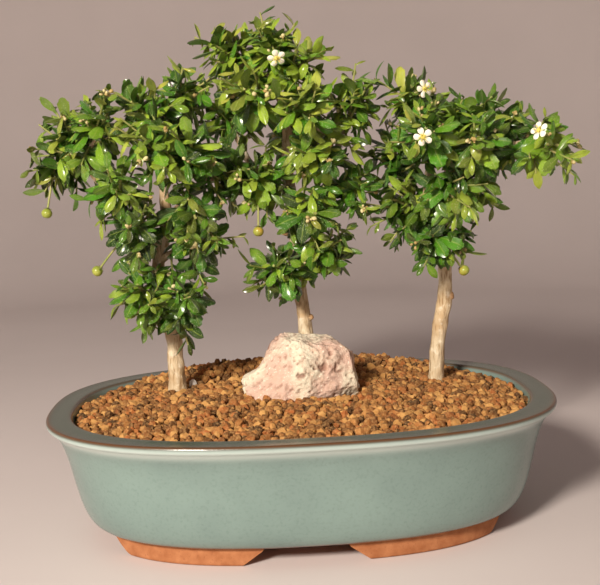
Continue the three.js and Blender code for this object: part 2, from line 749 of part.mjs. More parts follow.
// Five blunt petals round a small eye, facing the given way
function buildFlower(at, facing) {
  const side = facing.clone().cross(Math.abs(facing.z) < 0.9 ? UP : new THREE.Vector3(1, 0, 0));
  side.normalize();
  const other = facing.clone().cross(side);
  const eye = new THREE.OctahedronGeometry(FLOWER_EYE_RADIUS);
  let flower = toSolid(eye.translate(at.x, at.y, at.z));
  for (let k = 0; k < 5; k++) {
    const turn = (k / 5) * 2 * Math.PI;
    const out = side.clone().multiplyScalar(Math.cos(turn)).addScaledVector(other, Math.sin(turn));
    const across = facing.clone().cross(out);
    const place = (u, v, lift) => {
      const spot = at.clone().addScaledVector(out, u * FLOWER_RADIUS);
      return spot.addScaledVector(across, v * FLOWER_RADIUS).addScaledVector(facing, lift);
    };
    const petal = twoFans([
      place(0.05, 0, 0),
      place(0.6, 0.36, 0.5),
      place(1, 0.2, 0.2),
      place(1, -0.2, 0.2),
      place(0.6, -0.36, 0.5),
      place(0.6, 0, 0.6),
      place(0.6, 0, -0.4),
    ]);
    flower = flower.add(toSolid(petal));
  }
  return flower;
}

// Scene

const bonsai = new THREE.Group();
bonsai.name = "fukien_tea_forest_bonsai";

const stems = Object.values(TREES).map(({ limbs }) => {
  const [x, y] = limbs[0][0];
  return roundBar(x, y, STEM_HOLE_RADIUS, ROOT_DEPTH - GAP, RIM_HEIGHT + 30, 8);
});
addNode(bonsai, "pot", toGeometry(buildPot()), MATERIALS.glaze);
for (const side of [-1, 1]) {
  const name = side < 0 ? "drain_screen_left" : "drain_screen_right";
  const screen = addNode(bonsai, name, buildScreen(), MATERIALS.screen);
  screen.position.set(side * DRAIN_HOLE_AT, 0, FLOOR_TOP + GAP + SCREEN_THICK / 2);
}
addNode(bonsai, "soil", toGeometry(buildSoil(stems)), MATERIALS.soil);
const rockPocket = toSolid(buildRock(2 * GAP));
addNode(bonsai, "gravel", toGeometry(buildGravel(stems, rockPocket)), MATERIALS.gravel);
addNode(bonsai, "rock", buildRock(0), MATERIALS.rock);

const layouts = {};
for (const name of Object.keys(TREES)) {
  layouts[name] = layOutTree(TREES[name]);
}
const allSprays = Object.values(layouts).flatMap(({ sprays }) => sprays);
const hearts = allSprays.map((spray) => spray.heart);
const woods = Object.values(layouts).flatMap(({ limbs, sprays }) => [
  ...limbs.map((samples) => ({ samples })),
  ...sprays.map((spray) => ({ samples: spray.twig })),
  ...sprays.map((spray) => ({ samples: spray.shoot, spray })),
]);
const balls = [];
const kinds = [
  { blooms: FLOWERS, radius: FLOWER_RADIUS, short: FLOWER_STALK_STOP },
  { blooms: BERRIES, radius: BERRY_RADIUS, short: BERRY_RADIUS },
];
for (const { blooms, radius, short } of kinds) {
  for (const { tree, at, spray: number } of blooms) {
    const spray = layouts[tree].sprays[number];
    const stalk = stalkSamples(spray, at, short);
    spray.stalks.push(stalk);
    woods.push({ samples: stalk, spray });
    balls.push({ at: vector(at), room: radius + BLOOM_ROOM });
  }
}

let seed = 100;
for (const [name, { limbs, sprays }] of Object.entries(layouts)) {
  const tree = new THREE.Group();
  let wood = toSolid(tube(limbs[0], LIMB_SIDES));
  for (const samples of limbs.slice(1)) {
    wood = wood.add(toSolid(tube(samples, LIMB_SIDES - 1)));
  }
  for (const { twig } of sprays) {
    wood = wood.add(toSolid(tube(twig, TWIG_SIDES)));
  }
  addNode(tree, `${name}_tree_wood`, toGeometry(wood), MATERIALS.bark);
  sprays.forEach((spray, i) => {
    seed += 1;
    let leafy = toSolid(tube(spray.shoot, TWIG_SIDES));
    for (const samples of spray.stalks) {
      leafy = leafy.add(toSolid(tube(samples, TWIG_SIDES)));
    }
    for (const leaf of layOutLeaves(spray, seed, hearts, woods, balls)) {
      leafy = leafy.add(toSolid(leafGeometry(leaf)));
    }
    const number = String(i + 1).padStart(2, "0");
    addNode(tree, `${name}_tree_spray_${number}`, toGeometry(leafy), MATERIALS.leaf);
  });
  bonsai.add(tree);
}

FLOWERS.forEach(({ tree, at, spray }, i) => {
  const centre = vector(at);
  const facing = centre.clone().sub(layouts[tree].sprays[spray].shoot[1].point).normalize();
  addNode(bonsai, `flower_${i + 1}`, toGeometry(buildFlower(centre, facing)), MATERIALS.petal);
});
BERRIES.forEach(({ at }, i) => {
  const berry = addNode(bonsai, `berry_${i + 1}`, bareBall(BERRY_RADIUS, 1), MATERIALS.berry);
  berry.position.set(...at);
});

export default bonsai;
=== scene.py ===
"""Looks of a Fukien tea forest bonsai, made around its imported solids.

Shapes are worked out in millimetres as whole arrays and put into meshes in metres.
+X runs along the pot, the front is at -Y and +Z is up, as in the solids.
"""

import itertools
import math

import bpy
import numpy as np
from mathutils import Matrix, Vector


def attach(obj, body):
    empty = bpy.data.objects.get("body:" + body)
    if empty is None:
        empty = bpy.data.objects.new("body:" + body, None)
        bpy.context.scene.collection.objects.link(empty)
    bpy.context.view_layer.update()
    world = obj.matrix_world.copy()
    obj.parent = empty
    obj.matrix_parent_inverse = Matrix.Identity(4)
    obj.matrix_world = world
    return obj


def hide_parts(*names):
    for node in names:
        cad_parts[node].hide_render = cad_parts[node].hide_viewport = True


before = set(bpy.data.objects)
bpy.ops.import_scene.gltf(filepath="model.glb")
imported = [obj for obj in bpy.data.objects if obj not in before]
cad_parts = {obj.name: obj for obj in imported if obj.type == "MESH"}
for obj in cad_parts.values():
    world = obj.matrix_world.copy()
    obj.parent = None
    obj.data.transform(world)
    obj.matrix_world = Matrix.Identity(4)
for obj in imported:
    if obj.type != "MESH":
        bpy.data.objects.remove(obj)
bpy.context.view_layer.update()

MM = 0.001
UP = np.array([0.0, 0.0, 1.0])
SKEW = np.array([0.31, 0.95, 0.05])  # slanted start for the turning of tubes and balls
GAP = 0.3  # between a twig and its shoot, or a stalk and its bloom
GOLDEN_ANGLE = math.radians(137.508)

# Pot: a superellipse in plan. An inset is measured inwards from the rim's outer edge.
RIM_HALF_LENGTH = 136.5
RIM_HALF_WIDTH = 100
OVAL_POWER = 2.55
POT_PROFILE = [
    # inset, height: out along the underside, up the wall, over the lip and down inside
    (44, 8.7), (30, 8.7), (25.6, 8.9), (19.6, 12), (15.8, 20), (13, 31), (10.2, 45), (7.2, 55),
    (4.6, 60), (2.4, 62.6), (0.4, 64.0), (0.0, 65.2), (0.1, 66.5), (0.9, 67.4), (2.2, 67.3),
    (6, 67.1), (10.4, 67.3), (12.4, 67.2), (13.3, 65.8), (14.4, 60), (17, 46), (20.5, 28),
    (24, 18), (30, 15), (44, 15),
]
FLOOR_BOTTOM = 8.7
FLOOR_TOP = 15
FLOOR_REACH = 42
FOOT_SECTION = [
    # inset, height: a closed loop, reaching into the floor
    (33, 0), (27.4, 0), (26.3, 0.6), (26.2, 3), (26.2, 9), (26.2, 10.3), (39.7, 10.3),
    (39.7, 3), (39.4, 0.6), (38.6, 0), (33, 0),
]
FRONT_ARCH = {"middle": -4, "bottom": 64, "top": 40}
END_ARCH = {"middle": 0, "bottom": 100, "top": 78}
DRAIN_HOLE_AT = 48
DRAIN_HOLE_RADIUS = 10
HOLE_BEVEL = 0.8
POT_STEPS = 224
FOOT_STEPS = 40
FLOOR_STEPS = 96

# Glaze: heights where it stops, and edges where it is thin, each as inset, height, how thin
GLAZE_LINE = 9.9
INNER_GLAZE_LINE = 52
THIN_EDGES = [(0.8, 67.2, 1), (12.9, 67, 0.8)]
THIN_REACH = 1.1
# Painted highlight: a pale line round the glazed wall below the lip, at this height and reach
HIGHLIGHT_BAND_HEIGHT = 63
HIGHLIGHT_BAND_REACH = 2.6

# Gravel: a low mound of grit, with a long heap behind the trees
GRAVEL_EDGE = 63.2
GRAVEL_MOUND = 5
GRAVEL_INSET = 13.7
GRAVEL_BOTTOM = 60.8
GRAVEL_HEAP = 10
HEAP_MIDDLE = (-1.5, 66)
HEAP_REACH = (85, 14)
BED_STEPS = 120
BED_UNDER_GRAINS = 2.2
GRIT_SEED = 11
GRAIN_LAYERS = [(3.8, 0.1), (4.1, 1.9)]  # pitch of the grains, and how deep they sink
GRAIN_SIZE = (2.4, 5.6)
GRAIN_SECTION = [(0.6, -0.85), (1, -0.35), (0.95, 0.4), (0.5, 0.85)]
LATTICE_HALF = (140, 100)
LATTICE_ROW = 0.866
TRUNK_ROOM = 5.2
GRIT_SPLIT = 42  # the grit is cut into three pieces here, left and right of the middle
PEBBLE_AT = (-61, 38)
PEBBLE_SIZE = 5.4
PEBBLE_UP = 1.6

# Rock in front of the middle tree
ROCK_MIDDLE = np.array([1, 3, 72])
ROCK_HALF = np.array([33, 21, 27])
ROCK_POWER = 2.7
ROCK_FOOT = 60.8
ROCK_SHOULDER = {"low": 0.5, "from": -0.8, "to": -0.45}
ROCK_CUTS = [
    # direction of a flat face, and its distance from the rock's middle
    ((0.12, -0.12, 1), 26), ((0.35, -0.92, 0.25), 18.5), ((-0.45, -0.75, 0.5), 20),
    ((-0.62, -0.1, 0.78), 27), ((0.97, -0.2, 0.2), 30), ((0.6, 0.1, 0.8), 31),
    ((0.35, -0.8, -0.5), 17),
]
ROCK_ROUGHNESS = [(8, 1.1), (3.6, 0.7), (1.7, 0.45), (0.9, 0.2)]  # size of bumps, depth
ROCK_PIT_DEPTH = 1.5
ROCK_HOLLOW_DEPTH = 0.6
ROCK_RINGS = 180
ROCK_AROUND = 300

# Trees: each trunk or limb is a list of (x, y, z, radius), from its foot to its tip.
# Each spray is (x, y, z, droop), where the point is the heart of a tuft of leaves.
TREES = {
    "left": {
        "limbs": [
            [(-69.5, 28, 37, 4.8), (-69.5, 28, 62, 5), (-69.5, 28, 68, 4.9), (-70, 28, 85, 4.4),
             (-70.5, 28, 100, 4.2), (-74, 28, 114, 4.2), (-77.5, 27, 128, 4.1),
             (-76.5, 26, 142, 3.6), (-73, 25, 155, 3.9), (-70.5, 25, 168, 3.1),
             (-71.5, 27, 188, 2.6), (-73.5, 29, 208, 2.1), (-70.5, 29, 224, 1.6)],
            [(-77.5, 27, 122, 3.2), (-82.5, 24, 136, 3.1), (-89.5, 21, 149, 2.8),
             (-96.5, 22, 168, 2.5), (-105.5, 25, 186, 2.1), (-116.5, 28, 203, 1.7)],
            [(-71.5, 25, 162, 2.4), (-59.5, 20, 176, 2.1), (-48.5, 17, 188, 1.7)],
        ],
        "sprays": [
            (-121, 30, 215, 0.2), (-129, 30, 199, 0.45), (-100.5, 8, 219, 0.1),
            (-112.5, 50, 208, 0.2), (-80.5, 18, 227, 0.05), (-53.5, 34, 235, 0),
            (-73.5, -14, 207, 0.25), (-92.5, 2, 185, 0.5), (-52.5, -4, 203, 0.3),
            (-34.5, 18, 191, 0.2), (-54, -6, 171, 0.7), (-85, 0, 163, 0.7),
            (-83.5, 4, 128.5, 0.35), (-67.5, 62, 217, 0.1), (-62.5, 8, 123.5, 0.4),
            (-52, 5, 154, 0.6),
        ],
    },
    "middle": {
        "limbs": [
            [(6.5, 36, 37, 4.4), (6.5, 36, 62, 4.6), (6.5, 36, 68, 4.6), (6.5, 37, 93, 4.1),
             (4.5, 38, 115, 3.9), (3, 38, 130, 3.8), (2.5, 38, 145, 3.7), (1.5, 37, 160, 3.6),
             (0.5, 36, 175, 3.4), (-1, 34, 191, 3.2), (-0.5, 31, 208, 2.9), (-3, 27, 226, 2.2),
             (-6.5, 21, 242, 1.6)],
            [(0.5, 36, 172, 2.2), (-12.5, 34, 184, 2), (-23.5, 33, 198, 1.8),
             (-29.5, 33, 212, 1.5)],
            [(1.5, 37, 158, 2.3), (13.5, 30, 171, 2.1), (22.5, 22, 188, 1.9),
             (27.5, 15, 206, 1.6)],
        ],
        "sprays": [
            (-8.5, 14, 257, 0), (-33.5, 20, 256, 0.2), (7.5, 12, 247, 0.1),
            (-20.5, -4, 231, 0.15), (3.5, -14, 223, 0.2), (34, 8, 225, 0.1),
            (-31.5, 44, 224, 0.1), (12.5, -2, 199, 0.35), (-17.5, 18, 187, 0.4),
            (32.5, 10, 180, 0.5), (9.5, 2, 167, 0.6), (18.5, 20, 146, 0.5), (-8, 20, 136, 0.4),
            (9.5, 70, 213, 0.2),
        ],
    },
    "right": {
        "limbs": [
            [(81, 28, 37, 4.2), (81, 28, 62, 4.2), (81, 28, 68, 4.1), (82.5, 27, 90, 4.3),
             (84, 26.5, 100, 4.4), (86.5, 26, 113, 4.2), (87, 25, 132, 3.8),
             (86.5, 24, 148, 3.6), (86.5, 23, 163, 3.2), (89.5, 23, 182, 2.8),
             (89.5, 22, 202, 2.3), (86.5, 20, 218, 1.7)],
            [(86.5, 23, 157, 2.3), (78.5, 14, 163, 2.1), (74.5, 10, 172, 2), (75.5, 9, 186, 1.9),
             (77.5, 8, 202, 1.7)],
            [(89.5, 23, 184, 2.2), (103.5, 16, 194, 2), (117.5, 6, 201, 1.7)],
            [(86.5, 24, 152, 2.2), (73.5, 24, 164, 2), (63.5, 22, 176, 1.6)],
        ],
        "sprays": [
            (68.5, 14, 225, 0.05), (92.5, 4, 213.5, 0.1), (114.5, 12, 212, 0.15),
            (133.5, -24, 199, 0.5), (96.5, -20, 202, 0.3), (69.5, -22, 207, 0.2),
            (59, 22, 198, 0.3), (126.5, 30, 202.5, 0.3), (60.5, 8, 170.5, 0.45),
            (85.5, -12, 178, 0.85), (100.5, 8, 181, 0.7), (76.5, 0, 152, 0.5),
            (99.5, 60, 211, 0.2),
        ],
    },
}
TWIG_TIP_RADIUS = 1.2
SHOOT_TIP_RADIUS = 0.8
SHOOT_LENGTH = 15
STALK_RADIUS = 0.6

# Leaves of the solids: their count, sizes and the room that each keeps
LEAF_SEED = 101
LEAVES_PER_SPRAY = 9
LEAF_TRIES = 90
LEAF_LENGTH = (15, 23)
LEAF_WIDTH_RATIO = 0.42
LEAF_EDGE_DROP = 0.16
LEAF_TURN_SPREAD = 0.8
LEAF_TILT = (1.35, 0.45)
LEAF_TILT_SPREAD = 0.5
WOOD_ROOM = 1.8
BALL_ROOM = 1.2
CELL_MARGIN = 0.35
SOLID_OUTLINE = [(0, 0), (0.42, 0.37), (0.8, 0.5), (0.87, 0.26), (1, 0)]
SOLID_RIB = (0.58, 0.9)

# Fine leaves: along and half width. The own leaf ends in blunt teeth, the side leaf in a point.
FINE_OUTLINE = [
    (0, 0.05), (0.16, 0.15), (0.42, 0.37), (0.64, 0.47), (0.8, 0.5), (0.87, 0.34), (0.95, 0.27),
    (1, 0.06),
]
SIDE_OUTLINE = [
    (0, 0.05), (0.16, 0.2), (0.36, 0.41), (0.55, 0.5), (0.74, 0.45), (0.88, 0.28), (0.96, 0.13),
    (1, 0.03),
]
LEAF_THICK = 0.35
LEAF_CROWN = 0.55
BLADE_NUMBERS = ("length", "curl", "width", "fold")

# Side shoots round each spray, with smaller leaves
FOLIAGE_SEED = 500
TWIG_STEPS = 20
SIDE_SHOOTS = 10
SIDE_SHOOT_STEPS = 6
SIDE_LEAVES = 9
SIDE_LENGTH = (9, 18.5)
SIDE_WIDTH_RATIO = (0.3, 0.45)
SIDE_CURL = (-0.1, 0.55)
SIDE_FOLD = (0.1, 0.5)
# Tips of shoots that reach farther: tree, number of the spray, place
REACHES = [
    ("left", 1, (-138, 30, 184)), ("left", 4, (-89, 18, 228)), ("left", 5, (-50, 34, 243)),
    ("left", 6, (-76, -14, 190)), ("left", 7, (-77, 2, 181)), ("left", 9, (-32, 18, 172)),
    ("left", 11, (-75, 0, 173)), ("left", 12, (-99, 4, 121)), ("left", 12, (-78, 4, 109)),
    ("left", 14, (-61, 8, 97)), ("left", 15, (-27, 5, 156)), ("middle", 1, (-23, 20, 262)),
    ("middle", 5, (20, 8, 230)), ("middle", 5, (45, 8, 220)), ("middle", 5, (40, 8, 211)),
    ("middle", 6, (-18, 44, 215)), ("middle", 8, (-13, 18, 205)), ("middle", 8, (-26, 18, 172)),
    ("middle", 8, (-14, 18, 165)), ("middle", 9, (43, 10, 188)), ("middle", 10, (6, 2, 182)),
    ("middle", 11, (33, 20, 158)), ("middle", 12, (-23, 20, 128)), ("right", 0, (70, 14, 237)),
    ("right", 0, (54, 14, 223)), ("right", 1, (95, 4, 227)), ("right", 2, (132, 12, 216)),
    ("right", 3, (130, -24, 211)), ("right", 6, (58, 22, 213)), ("right", 6, (45, 22, 198)),
    ("right", 8, (42, 8, 158)), ("right", 8, (53, 8, 149)), ("right", 9, (75, -12, 186)),
    ("right", 11, (97, 0, 154)), ("right", 11, (94, 0, 142)),
]
CROWN_PAINTED_LIGHT = {"left": 0.28, "middle": 0.42, "right": 0.3}  # painted light: how light each crown's leaves are as a whole
HIGH_CROWN_LIGHT_AND_YOUTH = (150, 260)  # heights between which leaves get painted lighter and grow younger
BUDS_PER_SPRAY = 10
BUD_CLUSTERS = 3
BUD_RADIUS = (0.5, 1.3)
BUD_SECTION = [(0.25, -1.3), (0.85, -0.7), (1, 0.1), (0.8, 0.8), (0.2, 1.3)]

# Petals and the lobes under a berry: along and half width
PETAL_OUTLINE = [(0, 0.12), (0.25, 0.26), (0.55, 0.44), (0.8, 0.42), (0.95, 0.24), (1, 0.08)]
CALYX_OUTLINE = [(0, 0.3), (0.4, 0.42), (0.8, 0.2), (1, 0.04)]

# Flowers and berries
FLOWER_RADIUS = 5
BERRY_RADIUS = 3
LOBES = 5
PETAL_FOLD = 0.16
EYE_RADIUS = 1.3
STAMEN_RADIUS = 0.16
ANTHER_RADIUS = 0.42
FLOWERS = [
    # tree, place, and number of the spray that it hangs from
    ("middle", (-6.5, -10, 249), 0), ("right", (63.5, -42, 205), 5),
    ("right", (71.5, -6, 231), 0), ("right", (121.5, -44, 206), 3),
]
BERRIES = [
    # the same
    ("left", (-136.5, 25, 172), 1), ("left", (-108.5, 10, 140), 11),
    ("middle", (-19.5, 10, 158), 8), ("right", (91.5, -4, 133), 11),
]

# Stumps of pruned limbs: tree, foot, cut end and radius
STUMPS = [
    ("left", (-72, 25, 156), (-65.5, 17, 161), 3.8),
    ("middle", (1.5, 37, 158), (-5, 29, 157), 4.4),
    ("middle", (6, 37, 103), (10.8, 34.5, 106), 1.8),
    ("right", (87, 26, 115), (91.4, 23.5, 116), 2.5),
    ("right", (76, 11, 167.5), (70.3, 8, 172.3), 1.4),
]

# Camera: azimuth, elevation and roll in degrees, round an aim above the pot's middle
CAMERA_ANGLES = (-3.23, 7.19, -2.19)
CAMERA_DISTANCE = 543.4
CAMERA_AIM = (1.6, 0, 124.4)
CAMERA_LENS = 59.7

# Studio, in mm: floor and walls in one, and the key light
STAGE_FLAT = 1000
STAGE_BEND = 600
STAGE_TOP = 1900
KEY_PLACE = (-600, -1080, 720)
KEY_AIM = (0, 0, 120)
KEY_SIZE = 0.22  # in metres
KEY_POWER = 30
SKY_STRENGTH = 0.16


# Numbers and directions

def shared_draws(seed):
    """Draws between 0 and 1, the same as in the solids: s = 1664525 s + 1013904223, modulo 2^32."""
    state = seed
    while True:
        state = (state * 1664525 + 1013904223) & 0xFFFFFFFF
        yield state / 4294967296


def unit(vectors):
    """Vectors divided by their length."""
    return vectors / np.linalg.norm(vectors, axis=-1, keepdims=True)


def smooth(low, high, values):
    """0 below low and 1 above high, with t t (3 - 2t) between them."""
    t = np.clip((values - low) / (high - low), 0, 1)
    return t * t * (3 - 2 * t)


def value_noise(points, size, seed):
    """Smooth noise from -1 to 1: a hashed value at each corner of cubes of the given size,
    blended along x, y and z by t t (3 - 2t)."""
    cell = points / size
    low = np.floor(cell).astype(np.int64)
    part = cell - low
    part = part * part * (3 - 2 * part)
    total = np.zeros(points.shape[:-1])
    for corner in itertools.product((0, 1), repeat=3):
        x, y, z = np.moveaxis(low + corner, -1, 0)
        code = (x * 73856093) ^ (y * 19349663) ^ (z * 83492791) ^ (seed * 2654435761)
        code = ((code & 0xFFFFFFFF) ^ ((code & 0xFFFFFFFF) >> 13)) * 1274126177 & 0xFFFFFFFF
        value = (code ^ (code >> 16)) / 2147483648 - 1
        weight = np.prod(np.where(corner, part, 1 - part), axis=-1)
        total += value * weight
    return total


def even_turns(count):
    """Angles of a full turn in even steps: 2 pi k / count."""
    return np.arange(count) / count * 2 * np.pi


def guide_to(way):
    """Straight up, or +X where the way itself points up."""
    return UP if abs(way[2]) < 0.9 else np.array([1.0, 0, 0])


def square_pair(axis, guide):
    """Two directions square to an axis and to each other: axis x guide, and axis x that."""
    first = unit(np.cross(axis, guide))
    return first, np.cross(axis, first)


def circle(first, second, count):
    """Points of a unit circle: first cos a + second sin a."""
    turn = even_turns(count)[:, None]
    return first[..., None, :] * np.cos(turn) + second[..., None, :] * np.sin(turn)


# Shapes: a shape is its points in mm, its faces, and marks, which are numbers at its points

def skins(rings, looped=False, **marks):
    """Skin over rings of points, given as (shapes, rings, around, 3), each ring turning
    anticlockwise about the way of travel. It is closed by a cap at both ends, or it runs on
    from the last ring to the first."""
    count, along, around = rings.shape[:3]
    index = np.arange(count * along * around).reshape(count, along, around)
    here = index if looped else index[:, :-1]
    there = np.roll(index, -1, 1) if looped else index[:, 1:]
    quads = [here, np.roll(here, -1, 2), np.roll(there, -1, 2), there]
    faces = [np.stack(quads, -1).reshape(-1, 4)]
    if not looped:
        faces += [index[:, 0, ::-1], index[:, -1]]
    flat = {
        name: np.broadcast_to(value, rings.shape[:3]).reshape(-1) for name, value in marks.items()
    }
    return {"points": rings.reshape(-1, 3), "faces": faces, "marks": flat, "finish": 0}


def level_rings(x, y, height):
    """Rings of one shape from the x, y and height of their points."""
    return np.stack(np.broadcast_arrays(x, y, height), -1)[None]


def new_piece(name, shapes, finishes, slot, stands_for=(), sharp=50):
    """One mesh object of several shapes, smooth but for edges sharper than an angle."""
    starts = np.cumsum([0] + [len(shape["points"]) for shape in shapes[:-1]])
    corners, sizes, finish = [], [], []
    for shape, start in zip(shapes, starts):
        for faces in shape["faces"]:
            corners.append((faces + start).ravel())
            sizes.append(np.full(len(faces), faces.shape[1]))
            finish.append(np.full(len(faces), shape["finish"]))
    points = np.concatenate([shape["points"] for shape in shapes])
    corners, sizes, finish = map(np.concatenate, (corners, sizes, finish))
    mesh = bpy.data.meshes.new(name)
    mesh.vertices.add(len(points))
    mesh.vertices.foreach_set("co", (points * MM).astype(np.float32).ravel())
    mesh.loops.add(len(corners))
    mesh.loops.foreach_set("vertex_index", corners.astype(np.int32))
    mesh.polygons.add(len(sizes))
    mesh.polygons.foreach_set("loop_start", (np.cumsum(sizes) - sizes).astype(np.int32))
    mesh.polygons.foreach_set("material_index", finish.astype(np.int32))
    mesh.polygons.foreach_set("use_smooth", np.ones(len(sizes), bool))
    mesh.update(calc_edges=True)
    mesh.set_sharp_from_angle(angle=math.radians(sharp))
    for mark in sorted({mark for shape in shapes for mark in shape["marks"]}):
        blank = [np.zeros(len(shape["points"])) for shape in shapes]
        values = [shape["marks"].get(mark, zero) for shape, zero in zip(shapes, blank)]
        attribute = mesh.attributes.new(mark, "FLOAT", "POINT")
        attribute.data.foreach_set("value", np.concatenate(values).astype(np.float32))
    for finish in finishes:
        mesh.materials.append(finish)
    piece = bpy.data.objects.new(name, mesh)
    bpy.context.scene.collection.objects.link(piece)
    if slot:
        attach(piece, "root")
    if stands_for:
        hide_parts(*stands_for)
    return piece


def rounded(points, times):
    """Polyline with its corners cut: each stretch keeps its points at 1/4 and 3/4, and the
    ends stay."""
    line = np.asarray(points, float)
    for _ in range(times):
        near = line[:-1] * 0.75 + line[1:] * 0.25
        far = line[:-1] * 0.25 + line[1:] * 0.75
        inner = np.stack([near, far], 1).reshape(-1, line.shape[1])
        line = np.concatenate([line[:1], inner[1:-1], line[-1:]])
    return line


def smooth_curve(points, steps):
    """Catmull-Rom curve: between points b and c, with neighbours a and d,
    ((2b) + (c-a) t + (2a-5b+4c-d) t^2 + (3b-a-3c+d) t^3) / 2."""
    line = np.asarray(points, float)
    line = np.concatenate([[2 * line[0] - line[1]], line, [2 * line[-1] - line[-2]]])
    a, b, c, d = (line[k:len(line) - 3 + k, None] for k in range(4))
    t = (np.arange(steps) / steps)[None, :, None]
    curve = (2 * b + (c - a) * t + (2 * a - 5 * b + 4 * c - d) * t**2
             + (3 * b - a - 3 * c + d) * t**3) / 2
    return np.concatenate([curve.reshape(-1, line.shape[1]), line[-2:-1]])


def bezier(start, bend, end, steps):
    """Quadratic curve start (1-t)^2 + bend 2t(1-t) + end t^2."""
    t = np.linspace(0, 1, steps + 1)[:, None]
    return start * (1 - t)**2 + bend * 2 * t * (1 - t) + end * t**2


def carried_frames(path):
    """Normal and side along a path, square to it, the normal carried on without twisting."""
    ahead = np.concatenate([path[1:], path[-1:]])
    behind = np.concatenate([path[:1], path[:-1]])
    tangents = unit(ahead - behind)
    normal = SKEW
    normals = []
    for tangent in tangents:
        normal = unit(normal - tangent * (normal @ tangent))
        normals.append(normal)
    normals = np.array(normals)
    return normals, np.cross(tangents, normals)


def tube(path, radii, around, relief=None, **marks):
    """Tube: path + radius (normal cos a + side sin a), with relief added to the radius."""
    ring = circle(*carried_frames(path), around)
    radius = np.broadcast_to(np.asarray(radii, float), len(path))[:, None]
    if relief is not None:
        radius = radius + relief(ring * radius[..., None], path)
    return skins((path[:, None] + ring * radius[..., None])[None], **marks)


# Pot

def oval(inset, turn):
    """Superellipse |x/a|^n + |y/b|^n = 1 by its polar angle:
    reach = (|cos/a|^n + |sin/b|^n)^(-1/n)."""
    cos, sin = np.cos(turn), np.sin(turn)
    a, b = RIM_HALF_LENGTH - inset, RIM_HALF_WIDTH - inset
    reach = (np.abs(cos / a)**OVAL_POWER + np.abs(sin / b)**OVAL_POWER)**(-1 / OVAL_POWER)
    return reach * cos, reach * sin


def oval_share(x, y, inset):
    """|x/a|^n + |y/b|^n, which is 1 on the oval and less inside it."""
    a, b = RIM_HALF_LENGTH - inset, RIM_HALF_WIDTH - inset
    return np.abs(x / a)**OVAL_POWER + np.abs(y / b)**OVAL_POWER


def pot_wall():
    """Wall, lip and the edge of the floor: the rounded profile carried round the oval.
    Marks: glazed is 1 down to the glaze line and some way down the inside, thin is 1 where
    the glaze pulls away from an edge, as exp(-(distance / reach)^2), band is the same about
    the height of a painted highlight line below the lip, and rim is 1 on the flat top of the
    lip, which is painted darker there, partly as thin glaze and partly as a painted reflection
    of dark surroundings."""
    profile = rounded(POT_PROFILE, 2)
    inset, height = profile.T[:, :, None]
    turn = even_turns(POT_STEPS)
    x, y = oval(inset, turn)
    wave = 0.5 * np.sin(5 * turn + 1) + 0.3 * np.sin(13 * turn)
    inside = (np.arange(len(profile)) > np.argmax(profile[:, 1]))[:, None]
    line = np.where(inside, INNER_GLAZE_LINE + 2 * wave, GLAZE_LINE + 0.35 * wave)
    glazed = smooth(-0.15, 0.15, height - line) * np.ones_like(x)
    edges = [
        share * np.exp(-(np.hypot(inset - edge_inset, height - edge_height) / THIN_REACH)**2)
        for edge_inset, edge_height, share in THIN_EDGES
    ]
    foot = np.where(inside, 0, smooth(2.2, 0, height - line))
    thin = np.clip(sum(edges) + 0.9 * foot, 0, 1)
    # painted highlight: a pale line round the wall below the lip
    band = np.where(inside, 0, np.exp(-((height - HIGHLIGHT_BAND_HEIGHT) / HIGHLIGHT_BAND_REACH)**2))
    # flat top of the lip, painted darker: thin glaze, and a painted reflection of dark surroundings
    rim = smooth(65.6, 66.9, height) * smooth(13.6, 12.2, inset)
    rings = level_rings(x, y, height)
    return skins(rings, looped=True, glazed=glazed, thin=thin, band=band, rim=rim)


def arch_half(arch, height):
    """Half width of an arch at height z: (bottom - (bottom - top) z / its full height) / 2."""
    share = np.clip(height / FLOOR_BOTTOM, 0, 1)
    return (arch["bottom"] - (arch["bottom"] - arch["top"]) * share) / 2


def pot_foot(side_x, side_y):
    """Foot in one quarter: its section, carried along the oval from the arch at the front or
    back to the arch at the end."""
    inset, height = rounded(FOOT_SECTION, 1)[:-1].T
    a, b = RIM_HALF_LENGTH - inset, RIM_HALF_WIDTH - inset
    from_x = np.abs(FRONT_ARCH["middle"] + side_x * arch_half(FRONT_ARCH, height))
    from_y = arch_half(END_ARCH, height)
    y_there = b * (1 - (from_x / a)**OVAL_POWER)**(1 / OVAL_POWER)
    x_there = a * (1 - (from_y / b)**OVAL_POWER)**(1 / OVAL_POWER)
    start, stop = np.arctan2(from_y, x_there), np.arctan2(y_there, from_x)
    step = np.linspace(0, 1, FOOT_STEPS)[:, None]
    x, y = oval(inset, start + (stop - start) * step)
    rings = level_rings(side_x * x, side_y * y, height)
    if side_x * side_y > 0:
        rings = rings[:, :, ::-1]
    return skins(rings)


def pot_floor(side):
    """Half of the floor round one drain hole: rays from the hole's middle to the floor's edge
    or to the middle line, found by halving."""
    turn = even_turns(FLOOR_STEPS)
    cos, sin = np.cos(turn), np.sin(turn)
    hole = np.full(FLOOR_STEPS, float(DRAIN_HOLE_RADIUS))
    near, far = hole, np.full(FLOOR_STEPS, 2.0 * RIM_HALF_LENGTH)
    for _ in range(40):
        middle = (near + far) / 2
        x, y = side * DRAIN_HOLE_AT + middle * cos, middle * sin
        within = (oval_share(x, y, FLOOR_REACH) < 1) & (side * x > 0)
        near, far = np.where(within, middle, near), np.where(within, far, middle)
    low, high = FLOOR_BOTTOM + 0.1, FLOOR_TOP - 0.1
    reach = np.stack([hole + HOLE_BEVEL, near, near, hole, hole])
    height = np.array([low, low, high, high, low + HOLE_BEVEL])[:, None]
    rings = level_rings(side * DRAIN_HOLE_AT + reach * cos, reach * sin, height)
    return skins(rings, looped=True)


